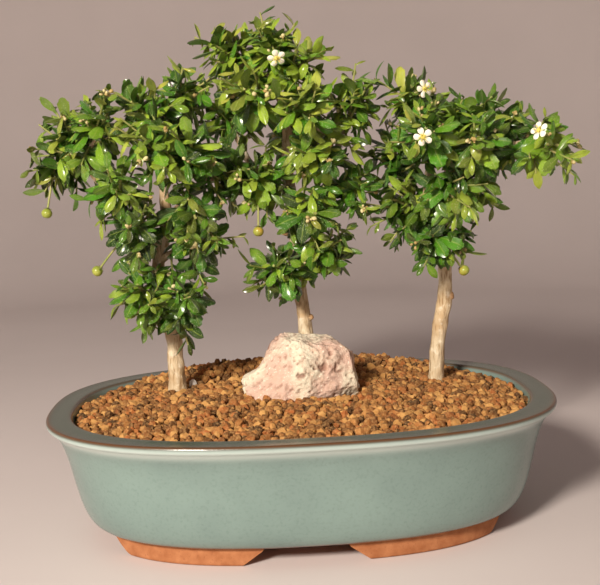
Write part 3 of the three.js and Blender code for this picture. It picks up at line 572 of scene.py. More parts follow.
def make_pot():
    """Pot: its wall, four feet and the two halves of its floor, as one piece."""
    shapes = [pot_wall()]
    shapes += [pot_foot(x, y) for x in (-1, 1) for y in (-1, 1)]
    shapes += [pot_floor(side) for side in (-1, 1)]
    new_piece("pot_body", shapes, [glazed_stoneware()], "pot_glaze", ["pot"])


# Gravel

def bed_height(x, y):
    """Height of the gravel bed: edge + mound max(0, 1 - (|x/a|^n + |y/b|^n)^(2/n))
    + heap exp(-((x - x0)/c)^4 - ((y - y0)/d)^2)."""
    along = ((x - HEAP_MIDDLE[0]) / HEAP_REACH[0])**4
    across = ((y - HEAP_MIDDLE[1]) / HEAP_REACH[1])**2
    share = oval_share(x, y, GRAVEL_INSET)
    mound = GRAVEL_MOUND * np.maximum(0, 1 - share**(2 / OVAL_POWER))
    return GRAVEL_EDGE + mound + GRAVEL_HEAP * np.exp(-along - across)


def gravel_bed_painted_shade():
    """Ground under the grains, painted dark as the shade in the gaps between them: rings from
    the middle below, up the edge, to the middle.
    """
    x, y = oval(GRAVEL_INSET + 0.9, even_turns(BED_STEPS))
    share = np.array([0.01, 1] + list(np.linspace(1, 0.01, 30)))[:, None]
    x, y = x * share, y * share
    top = bed_height(x, y) - BED_UNDER_GRAINS
    below = (np.arange(len(share)) < 2)[:, None]
    height = np.where(below, GRAVEL_BOTTOM, np.maximum(top, GRAVEL_BOTTOM + 0.2))
    # painted shade: the bed takes a nearly darkest grit tone, so that the gaps read as shadowed
    return skins(level_rings(x, y, height), tone=0.1)


def turned(draw, count):
    """Random turns: rotation matrices of random unit quaternions (w, x, y, z)."""
    w, x, y, z = unit(draw.normal(size=(count, 4))).T
    rows = [
        [1 - 2 * (y * y + z * z), 2 * (x * y - z * w), 2 * (x * z + y * w)],
        [2 * (x * y + z * w), 1 - 2 * (x * x + z * z), 2 * (y * z - x * w)],
        [2 * (x * z - y * w), 2 * (y * z + x * w), 1 - 2 * (x * x + y * y)],
    ]
    return np.moveaxis(np.array(rows), -1, 0)


def grains(places, sizes, draw, **marks):
    """Grit: four rings of six points, radius (0.6, 1, 0.95, 0.5) at (-0.85, -0.35, 0.4, 0.85),
    each point moved by up to 14 %, stretched three ways and turned at random."""
    count = len(places)
    turn = even_turns(6)
    radius, level = np.array(GRAIN_SECTION).T[:, :, None]
    ball = level_rings(radius * np.cos(turn), radius * np.sin(turn), level)
    ball = ball * draw.uniform(0.86, 1.14, (count, 4, 6, 1))
    stretch = draw.uniform(0.75, 1.2, (count, 1, 1, 3)) * sizes[:, None, None, None] / 2
    rings = np.einsum("nij,nabj->nabi", turned(draw, count), ball * stretch)
    spread = {name: value[:, None, None] for name, value in marks.items()}
    return skins(rings + places[:, None, None], **spread)


def grain_places(draw, pitch, sink):
    """Places of one layer of grit: a triangular lattice, jittered by a third of its pitch,
    inside the pot, off the trunks and off the rock."""
    rows = int(2 * LATTICE_HALF[1] / pitch / LATTICE_ROW)
    columns = int(2 * LATTICE_HALF[0] / pitch)
    j, i = np.mgrid[0:rows, 0:columns]
    x = ((i + 0.5 * (j % 2)) * pitch - LATTICE_HALF[0]).ravel()
    y = (j * pitch * LATTICE_ROW - LATTICE_HALF[1]).ravel()
    x = x + draw.uniform(-0.33, 0.33, x.shape) * pitch
    y = y + draw.uniform(-0.33, 0.33, y.shape) * pitch
    kept = oval_share(x, y, GRAVEL_INSET + 1.9) < 1
    for tree in TREES.values():
        foot_x, foot_y = tree["limbs"][0][1][:2]
        kept &= np.hypot(x - foot_x, y - foot_y) > TRUNK_ROOM
    near = (ROCK_HALF[:2] - 1.5) * 0.97
    oval_x, oval_y = (x - ROCK_MIDDLE[0]) / near[0], (y - ROCK_MIDDLE[1]) / near[1]
    kept &= np.abs(oval_x)**ROCK_POWER + np.abs(oval_y)**ROCK_POWER > 1
    x, y = x[kept], y[kept]
    z = bed_height(x, y) - sink + draw.uniform(-1, 1, x.shape)
    return np.stack([x, y, z], -1)


def make_gravel():
    """Two layers of grit on a bed painted dark as shade, in a left, a middle and a right piece,
    and one white pebble by the left trunk."""
    draw = np.random.default_rng(GRIT_SEED)
    grit = baked_clay_grit()
    shapes = [[gravel_bed_painted_shade()], [], []]
    for pitch, sink in GRAIN_LAYERS:
        places = grain_places(draw, pitch, sink)
        sizes = draw.uniform(*GRAIN_SIZE, len(places))
        marks = {
            "tone": draw.uniform(0, 1, len(places)), "rust": draw.uniform(0, 1, len(places))**5,
        }
        third = np.digitize(places[:, 0], [-GRIT_SPLIT, GRIT_SPLIT])
        for k in range(3):
            chosen = third == k
            shapes[k].append(grains(places[chosen], sizes[chosen], draw, **picked(marks, chosen)))
    x, y = PEBBLE_AT
    pebble = np.array([[x, y, bed_height(x, y) + PEBBLE_UP]])
    shapes[0].append(grains(pebble, np.array([PEBBLE_SIZE]), draw, white=np.ones(1)))
    for name, part in zip(("left", "middle", "right"), shapes):
        new_piece(f"grit_{name}", part, [grit], "gravel", ["gravel"], sharp=38)


# Rock

def make_rock():
    """Rock: ball of points p, squared by (|x|^n + |y|^n + |z|^n)^(-1/n), pushed by broad waves,
    cut flat by planes, then roughened by noise and pitted where fine noise is high."""
    fall = np.linspace(-0.995, 0.995, ROCK_RINGS)[:, None] * np.pi / 2
    turn = even_turns(ROCK_AROUND)
    p = level_rings(np.cos(fall) * np.cos(turn), np.cos(fall) * np.sin(turn), np.sin(fall))[0]
    x, y, z = np.moveaxis(p, -1, 0)
    broad = 0.06 * np.sin(3.1 * x + 1.2) * np.cos(2.7 * y - 0.6)
    ridge = 0.05 * np.sin(7.3 * x + 4.1 * z) + 0.05 * np.cos(8.7 * y - 5.2 * z)
    p = p * np.sum(np.abs(p)**ROCK_POWER, -1, keepdims=True)**(-1 / ROCK_POWER)
    low = ROCK_SHOULDER["low"]
    shoulder = low + (1 - low) * smooth(ROCK_SHOULDER["from"], ROCK_SHOULDER["to"], p[..., 0])
    spread = (1 + broad + ridge)[..., None] * ROCK_HALF
    spread[..., 2] *= shoulder
    body = p * spread
    out = unit(body / ROCK_HALF**2)
    for normal, reach in ROCK_CUTS:
        normal = unit(np.array(normal, float))
        over = np.maximum(0, body @ normal - reach)
        body = body - over[..., None] * normal
    rough = sum(
        depth * value_noise(body, size, seed)
        for seed, (size, depth) in enumerate(ROCK_ROUGHNESS, 1)
    )
    patches = smooth(-0.3, 0.5, value_noise(body, 12, 6))
    pits = smooth(0.25, 0.75, value_noise(body, 3.1, 5)) * patches
    hollow = smooth(0.3, 0.8, value_noise(body, 1.5, 7))
    body = body + out * (rough - ROCK_PIT_DEPTH * pits - ROCK_HOLLOW_DEPTH * hollow)[..., None]
    rings = body + ROCK_MIDDLE
    rings[..., 2] = np.maximum(rings[..., 2], ROCK_FOOT)
    pink = smooth(-0.3, 0.5, value_noise(body, 14, 8) + 0.35 * value_noise(body, 5, 9))
    shape = skins(rings[None], pit=np.clip(pits + 0.7 * hollow, 0, 1), pink=pink)
    new_piece("rock_body", [shape], [tufa_stone()], "rock", ["rock"], sharp=180)


# Layout of the trees, by the rules of the solids

def twig_root(limbs, heart):
    """Place on the limbs that a spray grows from: least distance + 0.9 max(0, z + 8 - heart z),
    from the trunk's fourth point or a limb's second point on."""
    spots = [np.array(limb, float)[3 if number == 0 else 1:] for number, limb in enumerate(limbs)]
    spots = np.concatenate(spots)
    cost = np.linalg.norm(spots[:, :3] - heart, axis=1)
    cost = cost + 0.9 * np.maximum(0, spots[:, 2] + 8 - heart[2])
    best = spots[np.argmin(cost)]
    return best[:3], best[3]


def lay_out_spray(limbs, spray):
    """Twig and leafy shoot of one spray: the shoot's middle is at the heart, and it points
    from the root to the heart, raised by 0.4 - 0.9 droop."""
    heart, droop = np.array(spray[:3], float), spray[3]
    root, radius = twig_root(limbs, heart)
    way = unit(unit(heart - root) + UP * (0.4 - 0.9 * droop))
    joint = heart - way * SHOOT_LENGTH / 2
    bend = joint - way * 0.4 * np.linalg.norm(joint - root)
    foot = joint + way * GAP
    return {
        "heart": heart, "way": way, "droop": droop, "root": root, "bend": bend, "joint": joint,
        "thick": max(TWIG_TIP_RADIUS, 0.7 * radius), "foot": foot,
        "tip": foot + way * SHOOT_LENGTH, "stalks": [],
    }


def stalk_root(spray):
    """Place on a shoot that the stalks of its blooms grow from, 0.6 of the way up."""
    return spray["foot"] + (spray["tip"] - spray["foot"]) * 0.6


def stalk_path(spray, at, short, steps):
    """Stalk from its root on the shoot to short of its bloom, its middle 3 mm up."""
    start = stalk_root(spray)
    stop = at - unit(at - start) * (short + GAP)
    return bezier(start, (start + stop) / 2 + UP * 3, stop, steps)


def lay_out_trees():
    """Sprays of every tree, with the stalks of their flowers and berries."""
    sprays = {
        name: [lay_out_spray(tree["limbs"], spray) for spray in tree["sprays"]]
        for name, tree in TREES.items()
    }
    for blooms, short in ((FLOWERS, 1.4), (BERRIES, BERRY_RADIUS)):
        for tree, at, number in blooms:
            sprays[tree][number]["stalks"].append((np.array(at, float), short))
    return sprays


def wood_segments(sprays):
    """Straight stretches of all wood: both ends, the thicker radius and the spray they are of."""
    paths = []
    for tree in TREES.values():
        paths += [(np.array(limb, float), -1) for limb in tree["limbs"]]
    for number, spray in enumerate(itertools.chain(*sprays.values())):
        twig = bezier(spray["root"], spray["bend"], spray["joint"], 2)
        thick = np.linspace(spray["thick"], TWIG_TIP_RADIUS, 3)
        paths.append((np.column_stack([twig, thick]), -1))
        shoot = np.array([spray["foot"], spray["tip"]])
        paths.append((np.column_stack([shoot, [TWIG_TIP_RADIUS, SHOOT_TIP_RADIUS]]), number))
        for at, short in spray["stalks"]:
            stalk = stalk_path(spray, at, short, 2)
            paths.append((np.column_stack([stalk, [STALK_RADIUS] * 3]), number))
    starts = np.concatenate([path[:-1] for path, _ in paths])
    stops = np.concatenate([path[1:] for path, _ in paths])
    owners = np.concatenate([np.full(len(path) - 1, owner) for path, owner in paths])
    return {
        "start": starts[:, :3], "span": stops[:, :3] - starts[:, :3],
        "radius": np.maximum(starts[:, 3], stops[:, 3]), "owner": owners,
    }


def wood_distance(points, woods):
    """Clearance of points from each stretch: distance to its nearest spot, less its radius."""
    away = points[..., None, :] - woods["start"]
    share = np.sum(away * woods["span"], -1) / np.sum(woods["span"]**2, -1)
    nearest = np.clip(share, 0, 1)[..., None] * woods["span"]
    return np.linalg.norm(away - nearest, axis=-1) - woods["radius"]

# Leaves

def leaf_points(leaves, u, v, rise):
    """Points on blades: base + A L u (1 - 0.4 c u) + B v w + U (rise - c L u^2 - f |v| w), where
    A, B and U point along, across and up, L is the length, w the width, c the curl, f the
    fold."""
    spread = (slice(None),) + (None,) * np.ndim(u)
    length, curl, width, fold = (leaves[name][spread] for name in BLADE_NUMBERS)
    base, along, up = (leaves[name][spread] for name in ("base", "along", "up"))
    across = np.cross(up, along)
    lift = rise - curl * length * u * u - fold * np.abs(v) * width
    reach = length * u * (1 - 0.4 * curl * u)
    return (base + along * reach[..., None] + across * (v * width)[..., None]
            + up * lift[..., None])


def leaf_directions(way, turn, tilt, droop):
    """Along and up of leaves round a shoot: along = way cos(tilt) + radial sin(tilt) - 0.6 droop
    up, where radial turns about the way, and up = way + 0.8 up, made square to along."""
    normal, side = square_pair(way, guide_to(way))
    turn, tilt = np.asarray(turn)[..., None], np.asarray(tilt)[..., None]
    radial = normal * np.cos(turn) + side * np.sin(turn)
    along = unit(way * np.cos(tilt) + radial * np.sin(tilt) - UP * 0.6 * droop)
    up = way + UP * 0.8
    return along, unit(up - along * np.sum(up * along, -1, keepdims=True))


def solid_leaf_fits(leaf, number, hearts, woods, balls):
    """The test that a leaf of the solids passed: inside its spray's share of space and clear of
    wood, flowers and berries."""
    half = SOLID_OUTLINE[1:-1]
    corners = SOLID_OUTLINE + [(u, -v) for u, v in half] + [(SOLID_RIB[0], 0)]
    u, v = np.array(corners).T
    rise = np.zeros(len(corners))
    rise[-1] = SOLID_RIB[1]
    points = leaf_points(leaf, u, v, rise)[0]
    middles = (points[-1] + points[[0, len(SOLID_OUTLINE) - 1]]) / 2
    points = np.concatenate([points, middles])
    apart = np.delete(hearts, number, 0) - hearts[number]
    reach = np.linalg.norm(apart, axis=1)
    inside = (points - hearts[number]) @ (apart / reach[:, None]).T <= reach / 2 - CELL_MARGIN
    clear = wood_distance(points, woods)[:, woods["owner"] != number] >= WOOD_ROOM
    gaps = np.linalg.norm(points[:, None] - balls[:, :3], axis=-1)
    return inside.all() and clear.all() and (gaps > balls[:, 3] + BALL_ROOM).all()


def solid_leaves(spray, number, hearts, woods, balls):
    """The leaves of the solids: tries turned by the golden angle, kept where they fit."""
    draw = shared_draws(LEAF_SEED + number)
    kept = []
    for k in range(LEAF_TRIES):
        if len(kept) == LEAVES_PER_SPRAY:
            break
        rank = len(kept) / LEAVES_PER_SPRAY
        turn = k * GOLDEN_ANGLE + (next(draw) - 0.5) * LEAF_TURN_SPREAD
        tilt = LEAF_TILT[0] + (LEAF_TILT[1] - LEAF_TILT[0]) * rank
        tilt = tilt + (next(draw) - 0.5) * LEAF_TILT_SPREAD
        length = LEAF_LENGTH[0] + (LEAF_LENGTH[1] - LEAF_LENGTH[0]) * next(draw)
        length = length * (1 - 0.2 * rank)
        curl = 0.05 + 0.3 * next(draw)
        along, up = leaf_directions(spray["way"], turn, tilt, spray["droop"])
        base = spray["foot"] + (spray["tip"] - spray["foot"]) * (0.25 + 0.7 * rank)
        leaf = {"base": base, "along": along, "up": up, "length": length, "curl": curl,
                "fold": LEAF_EDGE_DROP}
        leaf = {name: np.array(value, float)[None] for name, value in leaf.items()}
        leaf["width"] = leaf["length"] * LEAF_WIDTH_RATIO
        if solid_leaf_fits(leaf, number, hearts, woods, balls):
            kept.append({**leaf, "rank": np.array([rank])})
    return joined(kept)


def side_shoots(spray, reaches, draw):
    """Short shoots round a spray's heart: each leaves the outer half of its twig, bent out by
    the golden angle about the way, with its tip 7 to 21 mm from the heart. The first grows
    18 to 25 mm long, nearly straight on, and the last two stay inside the crown. The shoots
    that reach farther run from the twig's outer end to the given tips."""
    twig = bezier(spray["root"], spray["bend"], spray["joint"], TWIG_STEPS)
    shoots = []
    for k in range(SIDE_SHOOTS):
        inner = k >= SIDE_SHOOTS - 2
        start = twig[int(draw.uniform(*((0.3, 0.6) if inner else (0.62, 1))) * TWIG_STEPS)]
        turn = k * GOLDEN_ANGLE + draw.uniform(0, 0.9)
        tilt, reach = (0.35, draw.uniform(18, 25)) if k == 0 else (draw.uniform(0.6, 2), 0)
        out, _ = leaf_directions(spray["way"], turn, tilt, 0)
        reach = reach or 7 + 14 * draw.uniform()
        middle = start if inner else spray["heart"]
        tip = middle + out * reach + UP * (1.5 - 6 * spray["droop"])
        bend = (start + tip) / 2 - spray["way"] * 1.5 + UP * draw.uniform(-1, 3)
        shoots.append((start, bend, tip))
    outer = twig[16]
    for tip in reaches:
        shoots.append((outer, (outer + tip) / 2 + UP * 2, tip))
    return [
        {"path": bezier(*ends, SIDE_SHOOT_STEPS), "droop": spray["droop"]} for ends in shoots
    ]


def shoot_leaves(shoot, draw):
    """Leaves along a side shoot, thick towards its tip, smaller and more upright there, each
    thrown off its even place and turned about its own length at random."""
    path = shoot["path"]
    rank = (np.arange(SIDE_LEAVES) + 0.5) / SIDE_LEAVES
    spot = (0.25 + 0.75 * rank) * (len(path) - 1)
    low = np.minimum(spot.astype(int), len(path) - 2)
    part = (spot - low)[:, None]
    base = path[low] * (1 - part) + path[low + 1] * part
    way = unit(path[-1] - path[-3])
    turn = np.arange(SIDE_LEAVES) * GOLDEN_ANGLE + draw.uniform(0, 6.3)
    turn = turn + draw.normal(0, 0.5, SIDE_LEAVES)
    tilt = 1.5 - 0.8 * rank + draw.normal(0, 0.35, SIDE_LEAVES)
    along, up = leaf_directions(way, turn, tilt, shoot["droop"])
    up = up + draw.normal(0, 0.45, up.shape)
    up = unit(up - along * np.sum(up * along, -1, keepdims=True))
    length = draw.uniform(*SIDE_LENGTH, SIDE_LEAVES) * (1.1 - 0.45 * rank)
    return {
        "base": base, "along": along, "up": up, "length": length,
        "curl": draw.uniform(*SIDE_CURL, SIDE_LEAVES),
        "width": length * draw.uniform(*SIDE_WIDTH_RATIO, SIDE_LEAVES),
        "fold": draw.uniform(*SIDE_FOLD, SIDE_LEAVES), "rank": rank,
    }


def buds(shoots, draw):
    """Buds and dried flower cups in clusters at the tips of a few side shoots: small balls of
    five rings, stretched outwards, 1 to 2.6 mm across."""
    chosen = draw.integers(0, len(shoots), BUD_CLUSTERS)[np.arange(BUDS_PER_SPRAY) % BUD_CLUSTERS]
    tips = np.array([shoots[k]["path"][-1 - k % 2] for k in chosen])
    ways = unit(np.array([shoots[k]["path"][-1] - shoots[k]["path"][-3] for k in chosen]))
    ways = unit(ways + draw.normal(0, 0.9, ways.shape))
    middle = tips + ways * draw.uniform(1.2, 3.2, (BUDS_PER_SPRAY, 1))
    radius = draw.uniform(*BUD_RADIUS, BUDS_PER_SPRAY)[:, None, None, None]
    thick, level = np.array(BUD_SECTION).T[:, :, None, None]
    rings = circle(*square_pair(ways, SKEW), 6)[:, None] * thick + ways[:, None, None] * level
    tone = draw.uniform(0, 1, BUDS_PER_SPRAY)[:, None, None]
    return skins(middle[:, None, None] + rings * radius, tone=tone)


def blades(leaves, outline, thick, crown, **marks):
    """Closed thin blades: at each station six points, five across the upper face and one under
    the midrib. The upper face rises by crown (1 - v^2) sin(pi u) over the leaf's own curve."""
    u, half = np.array(outline, float).T[:, :, None]
    across = np.array([1, 0.5, 0, -0.5, -1, 0])
    under = np.array([0, 0, 0, 0, 0, 1])
    rise = crown * (1 - across**2) * np.sin(np.pi * u)**0.7 - under * thick
    u = u * np.ones_like(across)
    rings = leaf_points(leaves, u, across * half, rise)
    spread = {name: value[:, None, None] for name, value in marks.items()}
    return skins(rings, along=u, across=across * np.ones_like(u), under=under, **spread)


def joined(groups):
    """Several groups of leaves as one."""
    return {name: np.concatenate([group[name] for group in groups]) for name in groups[0]}


def picked(table, kept):
    """A table of arrays cut to the entries where kept is true."""
    return {name: value[kept] for name, value in table.items()}


def clear_leaves(leaves, woods, balls):
    """Which leaves keep their midrib 0.5 mm off the wood and 1 mm off flowers and berries."""
    middle = leaf_points(leaves, np.array([0.5, 0.95]), np.zeros(2), np.zeros(2))
    clear = (wood_distance(middle, picked(woods, woods["owner"] < 0)) > 0.5).all((1, 2))
    gaps = np.linalg.norm(middle[:, :, None] - balls[:, :3], axis=-1)
    clear &= (gaps > balls[:, 3] + 1).all((1, 2))
    clear[:LEAVES_PER_SPRAY] = True
    return clear


def leaf_tints_and_painted_light(tree, spray, member, rank, draw):
    """Tone and youth of leaves: each shoot and each leaf has a tone of its own at random, and
    painted light adds to it: each crown is lighter or darker as a whole, leaves grow lighter
    high in the crown and towards each shoot's tip, and inner leaves near a shoot's foot are
    painted in shade. Youth is strong at the tips of a few shoots and grows high in the crown,
    where it adds to the painted light."""
    shoots = member[-1] + 1
    high = smooth(*HIGH_CROWN_LIGHT_AND_YOUTH, spray["heart"][2])
    # painted light: the crown's own lightness, lighter high in the crown; the spread is each
    # shoot's own tone
    tone = draw.normal(CROWN_PAINTED_LIGHT[tree] + 0.42 * high, 0.22, shoots)[member]
    # painted shade on inner leaves, lighter towards the shoot's tip; the spread is each leaf's own
    # tone
    tone = tone + 0.12 * rank + draw.normal(0, 0.22, len(member))
    # youth grows high in the crown, which also paints light on the crown's top
    fresh = (0.55 + 0.85 * high) * draw.uniform(0.1, 1, shoots)[member]**2
    young = smooth(0.2, 1, rank) * fresh * draw.uniform(0.5, 1.1, len(member))
    return {"tone": np.clip(tone, 0, 1), "young": young}


def green_stems(spray, shoots):
    """Stems of a spray: its own shoot, the side shoots and the stalks of its blooms."""
    shoot = np.array([spray["foot"], spray["tip"]])
    stems = [tube(shoot, [TWIG_TIP_RADIUS, SHOOT_TIP_RADIUS], 8)]
    thick = np.linspace(0.75, 0.45, SIDE_SHOOT_STEPS + 1)
    stems += [tube(shoot["path"], thick, 6) for shoot in shoots]
    for at, short in spray["stalks"]:
        stems.append(tube(stalk_path(spray, at, short, 10), STALK_RADIUS, 8))
    return [{**stem, "finish": 1} for stem in stems]


def make_foliage(sprays):
    """One piece for each spray: the solids' own leaves with finer edges, side shoots with
    smaller leaves between them, buds, and the stalks of its flowers and berries."""
    finishes = [waxy_leaf(), green_shoot(), dry_cup()]
    hearts = np.array([spray["heart"] for spray in itertools.chain(*sprays.values())])
    woods = wood_segments(sprays)
    balls = np.array([(*at, FLOWER_RADIUS) for _, at, _ in FLOWERS]
                     + [(*at, BERRY_RADIUS) for _, at, _ in BERRIES], float)
    owned = [(tree, place) for tree, members in sprays.items() for place in range(len(members))]
    for number, (tree, place) in enumerate(owned):
        draw = np.random.default_rng(FOLIAGE_SEED + number)
        spray = sprays[tree][place]
        reaches = [np.array(tip) for *owner, tip in REACHES if owner == [tree, place]]
        shoots = side_shoots(spray, reaches, draw)
        groups = [solid_leaves(spray, number, hearts, woods, balls)]
        groups += [shoot_leaves(shoot, draw) for shoot in shoots]
        member = np.repeat(np.arange(len(groups)), [len(group["rank"]) for group in groups])
        leaves = joined(groups)
        tone_and_light_marks = leaf_tints_and_painted_light(tree, spray, member, leaves["rank"], draw)
        clear = clear_leaves(leaves, woods, balls)
        shapes = []
        for outline, own in ((FINE_OUTLINE, member == 0), (SIDE_OUTLINE, member > 0)):
            kept = clear & own
            blade = blades(picked(leaves, kept), outline, LEAF_THICK, LEAF_CROWN,
                           **picked(tone_and_light_marks, kept))
            shapes.append(blade)
        shapes += green_stems(spray, shoots)
        shapes.append({**buds(shoots, draw), "finish": 2})
        name = f"{tree}_tree_spray_{place + 1:02d}"
        new_piece(f"{name}_leaves", shapes, finishes, "foliage", [name])


# Wood

def bark_relief(size):
    """Bark: ridges along the wood, from noise squeezed across it and stretched along it,
    with old leaf scars as broad low bumps."""
    def relief(ring, path):
        spots = path[:, None] + ring
        ridges = value_noise(spots * np.array([1, 1, 0.22]), 1.5, 21)
        knots = value_noise(spots, 5.5, 22)
        fine = value_noise(spots * np.array([1, 1, 0.5]), 0.8, 23)
        return size * (0.42 * ridges + 0.5 * knots + 0.16 * fine)
    return relief


def limb_shape(limb, steps, around, flare=0.0):
    """Limb: smooth curve through its points, widened at its foot by flare exp(-(z - 64) / 6)."""
    curve = smooth_curve(limb, steps)
    path, radius = curve[:, :3], curve[:, 3]
    radius = radius + flare * np.exp(-np.maximum(0, path[:, 2] - 64) / 6)
    return tube(path, radius, around, bark_relief(min(1.0, radius.mean() / 3.2)))


def stump(foot, cut, radius):
    """Stump: a short tube that swells to its cut end and is rounded over there; the mark cut
    rises from 0 at its foot to 1 at its end."""
    share = np.linspace(0, 1, 12)
    path = np.array(foot) + (np.array(cut, float) - foot) * share[:, None]
    thick = radius * (0.8 + 0.25 * share) * np.sqrt(np.clip(1 - (share * 1.02 - 0.02)**8, 0.02, 1))
    relief = bark_relief(min(1.0, radius / 3))
    return tube(path, thick, 18, relief, cut=smooth(0.45, 1, share)[:, None])


def make_wood(sprays):
    """Trunk, limbs and twigs of each tree as one piece."""
    bark = pale_bark()
    for tree, plan in TREES.items():
        trunk, *limbs = plan["limbs"]
        shapes = [limb_shape(trunk, 14, 28, 1.3)]
        shapes += [limb_shape(limb, 12, 20) for limb in limbs]
        shapes += [stump(*place) for owner, *place in STUMPS if owner == tree]
        for spray in sprays[tree]:
            twig = bezier(spray["root"], spray["bend"], spray["joint"], 16)
            thick = np.linspace(spray["thick"], TWIG_TIP_RADIUS, 17)
            shapes.append(tube(twig, thick, 12, bark_relief(0.45)))
        new_piece(f"{tree}_tree_bark", shapes, [bark], "bark", [f"{tree}_tree_wood"], sharp=180)

# Flowers and berries

def ball_rings(middle, radius, axis, rings_count=12, around=16, squash=1.0):
    """Ball: rings at latitude a round an axis, radius cos(a), height squash sin(a)."""
    fall = np.linspace(-0.97, 0.97, rings_count)[:, None] * np.pi / 2
    ring = circle(*square_pair(axis, SKEW), around)
    up = (axis * np.sin(fall) * squash)[:, None]
    return middle + radius * (ring * np.cos(fall)[..., None] + up)


def star(base, out, facing, lift, **sizes):
    """Blades round a middle: along = out + lift facing and up = facing - lift out."""
    ways = {"base": base, "along": unit(out + facing * lift), "up": unit(facing - out * lift)}
    return {**ways, **{name: np.full(len(out), value) for name, value in sizes.items()}}


def make_flowers(sprays):
    """Flowers: five blunt petals round a short cup, with an eye and five stamens."""
    finishes = [white_petal(), yellow_stamen()]
    for index, (tree, at, number) in enumerate(FLOWERS):
        at = np.array(at, float)
        facing = unit(at - sprays[tree][number]["tip"])
        out = circle(*square_pair(facing, guide_to(facing)), LOBES)
        petals = star(at + out * 0.3, out, facing, 0.12, length=FLOWER_RADIUS - 0.2, curl=0.12,
                      width=FLOWER_RADIUS * 0.72, fold=PETAL_FOLD)
        inner = [skins(ball_rings(at + facing * 0.2, EYE_RADIUS, facing, squash=0.7)[None])]
        for spoke in out:
            tip = at + spoke * 1.7 + facing * 1.9
            stamen = bezier(at + spoke * 0.6, at + spoke * 1.2 + facing * 1.2, tip, 5)
            inner.append(tube(stamen, STAMEN_RADIUS, 5))
            inner.append(skins(ball_rings(tip, ANTHER_RADIUS, facing, 5, 8)[None]))
        shapes = [blades(petals, PETAL_OUTLINE, 0.25, 0.35)]
        shapes += [{**shape, "finish": 1} for shape in inner]
        name = f"flower_{index + 1}"
        new_piece(f"{name}_bloom", shapes, finishes, "petals", [name])


def make_berries(sprays):
    """Berries: a ball with a dimple at its tip, and a five-lobed calyx at its stalk."""
    finishes = [berry_skin(), green_shoot()]
    for index, (tree, at, number) in enumerate(BERRIES):
        at = np.array(at, float)
        axis = unit(at - stalk_root(sprays[tree][number]))
        rings = ball_rings(at, BERRY_RADIUS, axis, 16, 24, 0.94)
        height = (rings - at) @ axis / BERRY_RADIUS
        rings = rings - axis * (0.5 * smooth(0.86, 1, height))[..., None]
        fruit = skins(rings[None], tone=index / len(BERRIES))
        out = circle(*square_pair(axis, SKEW), LOBES)
        base = at - axis * (BERRY_RADIUS + 0.25) + out * 0.2
        lobes = star(base, out, -axis, -0.45, length=2.3, curl=-0.2, width=1.3,
                     fold=PETAL_FOLD)
        calyx = {**blades(lobes, CALYX_OUTLINE, 0.2, 0.05), "finish": 1}
        name = f"berry_{index + 1}"
        new_piece(f"{name}_fruit", [fruit, calyx], finishes, "berries", [name])


# Materials

def paint(code):
    """sRGB hex colour as linear light: c / 12.92 up to 0.04045, else ((c + 0.055) / 1.055)^2.4."""
    channels = [int(code[k:k + 2], 16) / 255 for k in (1, 3, 5)]
    linear = [c / 12.92 if c <= 0.04045 else ((c + 0.055) / 1.055)**2.4 for c in channels]
    return (*linear, 1.0)


def add(tree, kind, inputs, output=0, **settings):
    """Adds a node with its settings and its sockets' values, or the links that reach them,
    and gives one of its outputs. A hex colour is turned to linear light."""
    node = tree.nodes.new("ShaderNode" + kind)
    for name, value in settings.items():
        setattr(node, name, value)
    for key, value in inputs.items():
        if isinstance(value, bpy.types.NodeSocket):
            tree.links.new(value, node.inputs[key])
        else:
            node.inputs[key].default_value = paint(value) if isinstance(value, str) else value
    return node.outputs[output]


def new_material(name, marks=(), **fixed):
    """Material with a Principled surface whose fixed sockets are set here, its nodes, and the
    marks of the piece that it reads."""
    material = bpy.data.materials.new(name)
    material.use_nodes = True
    tree = material.node_tree
    for socket, value in fixed.items():
        tree.nodes["Principled BSDF"].inputs[socket.replace("_", " ")].default_value = value
    read = {mark: add(tree, "Attribute", {}, "Fac", attribute_name=mark) for mark in marks}
    return material, tree, read


def coats(tree, ground, *layers):
    """Ground colour under layers, each a share from 0 to 1 and the colour that it brings."""
    for share, colour in layers:
        ground = add(tree, "Mix", {0: share, 6: ground, 7: colour}, 2, data_type="RGBA")
    return ground


def mottle(tree, size, low=0.3, high=0.7, top=1.0, detail=3.0, stretch=None):
    """Clouds of a size in mm on Object coordinates: noise, spread so that low gives 0 and high
    gives top."""
    where = add(tree, "TexCoord", {}, "Object")
    if stretch:
        where = add(tree, "Mapping", {"Vector": where, "Scale": stretch})
    inputs = {"Vector": where, "Scale": 1 / (size * MM), "Detail": detail}
    noise = add(tree, "TexNoise", inputs, "Fac")
    return add(tree, "MapRange", {0: noise, 1: low, 2: high, 4: top})


def dressed(material, colour, relief=None, depth=0.0, roughness=None):
    """Material with its colour, its roughness where that changes, and a relief of a depth in
    mm."""
    tree = material.node_tree
    reached = {"Base Color": colour, "Roughness": roughness}
    if relief is not None:
        inputs = {"Height": relief, "Distance": depth * MM, "Strength": 1.0}
        reached["Normal"] = add(tree, "Bump", inputs)
    for socket, value in reached.items():
        if value is not None:
            tree.links.new(value, tree.nodes["Principled BSDF"].inputs[socket])
    return material


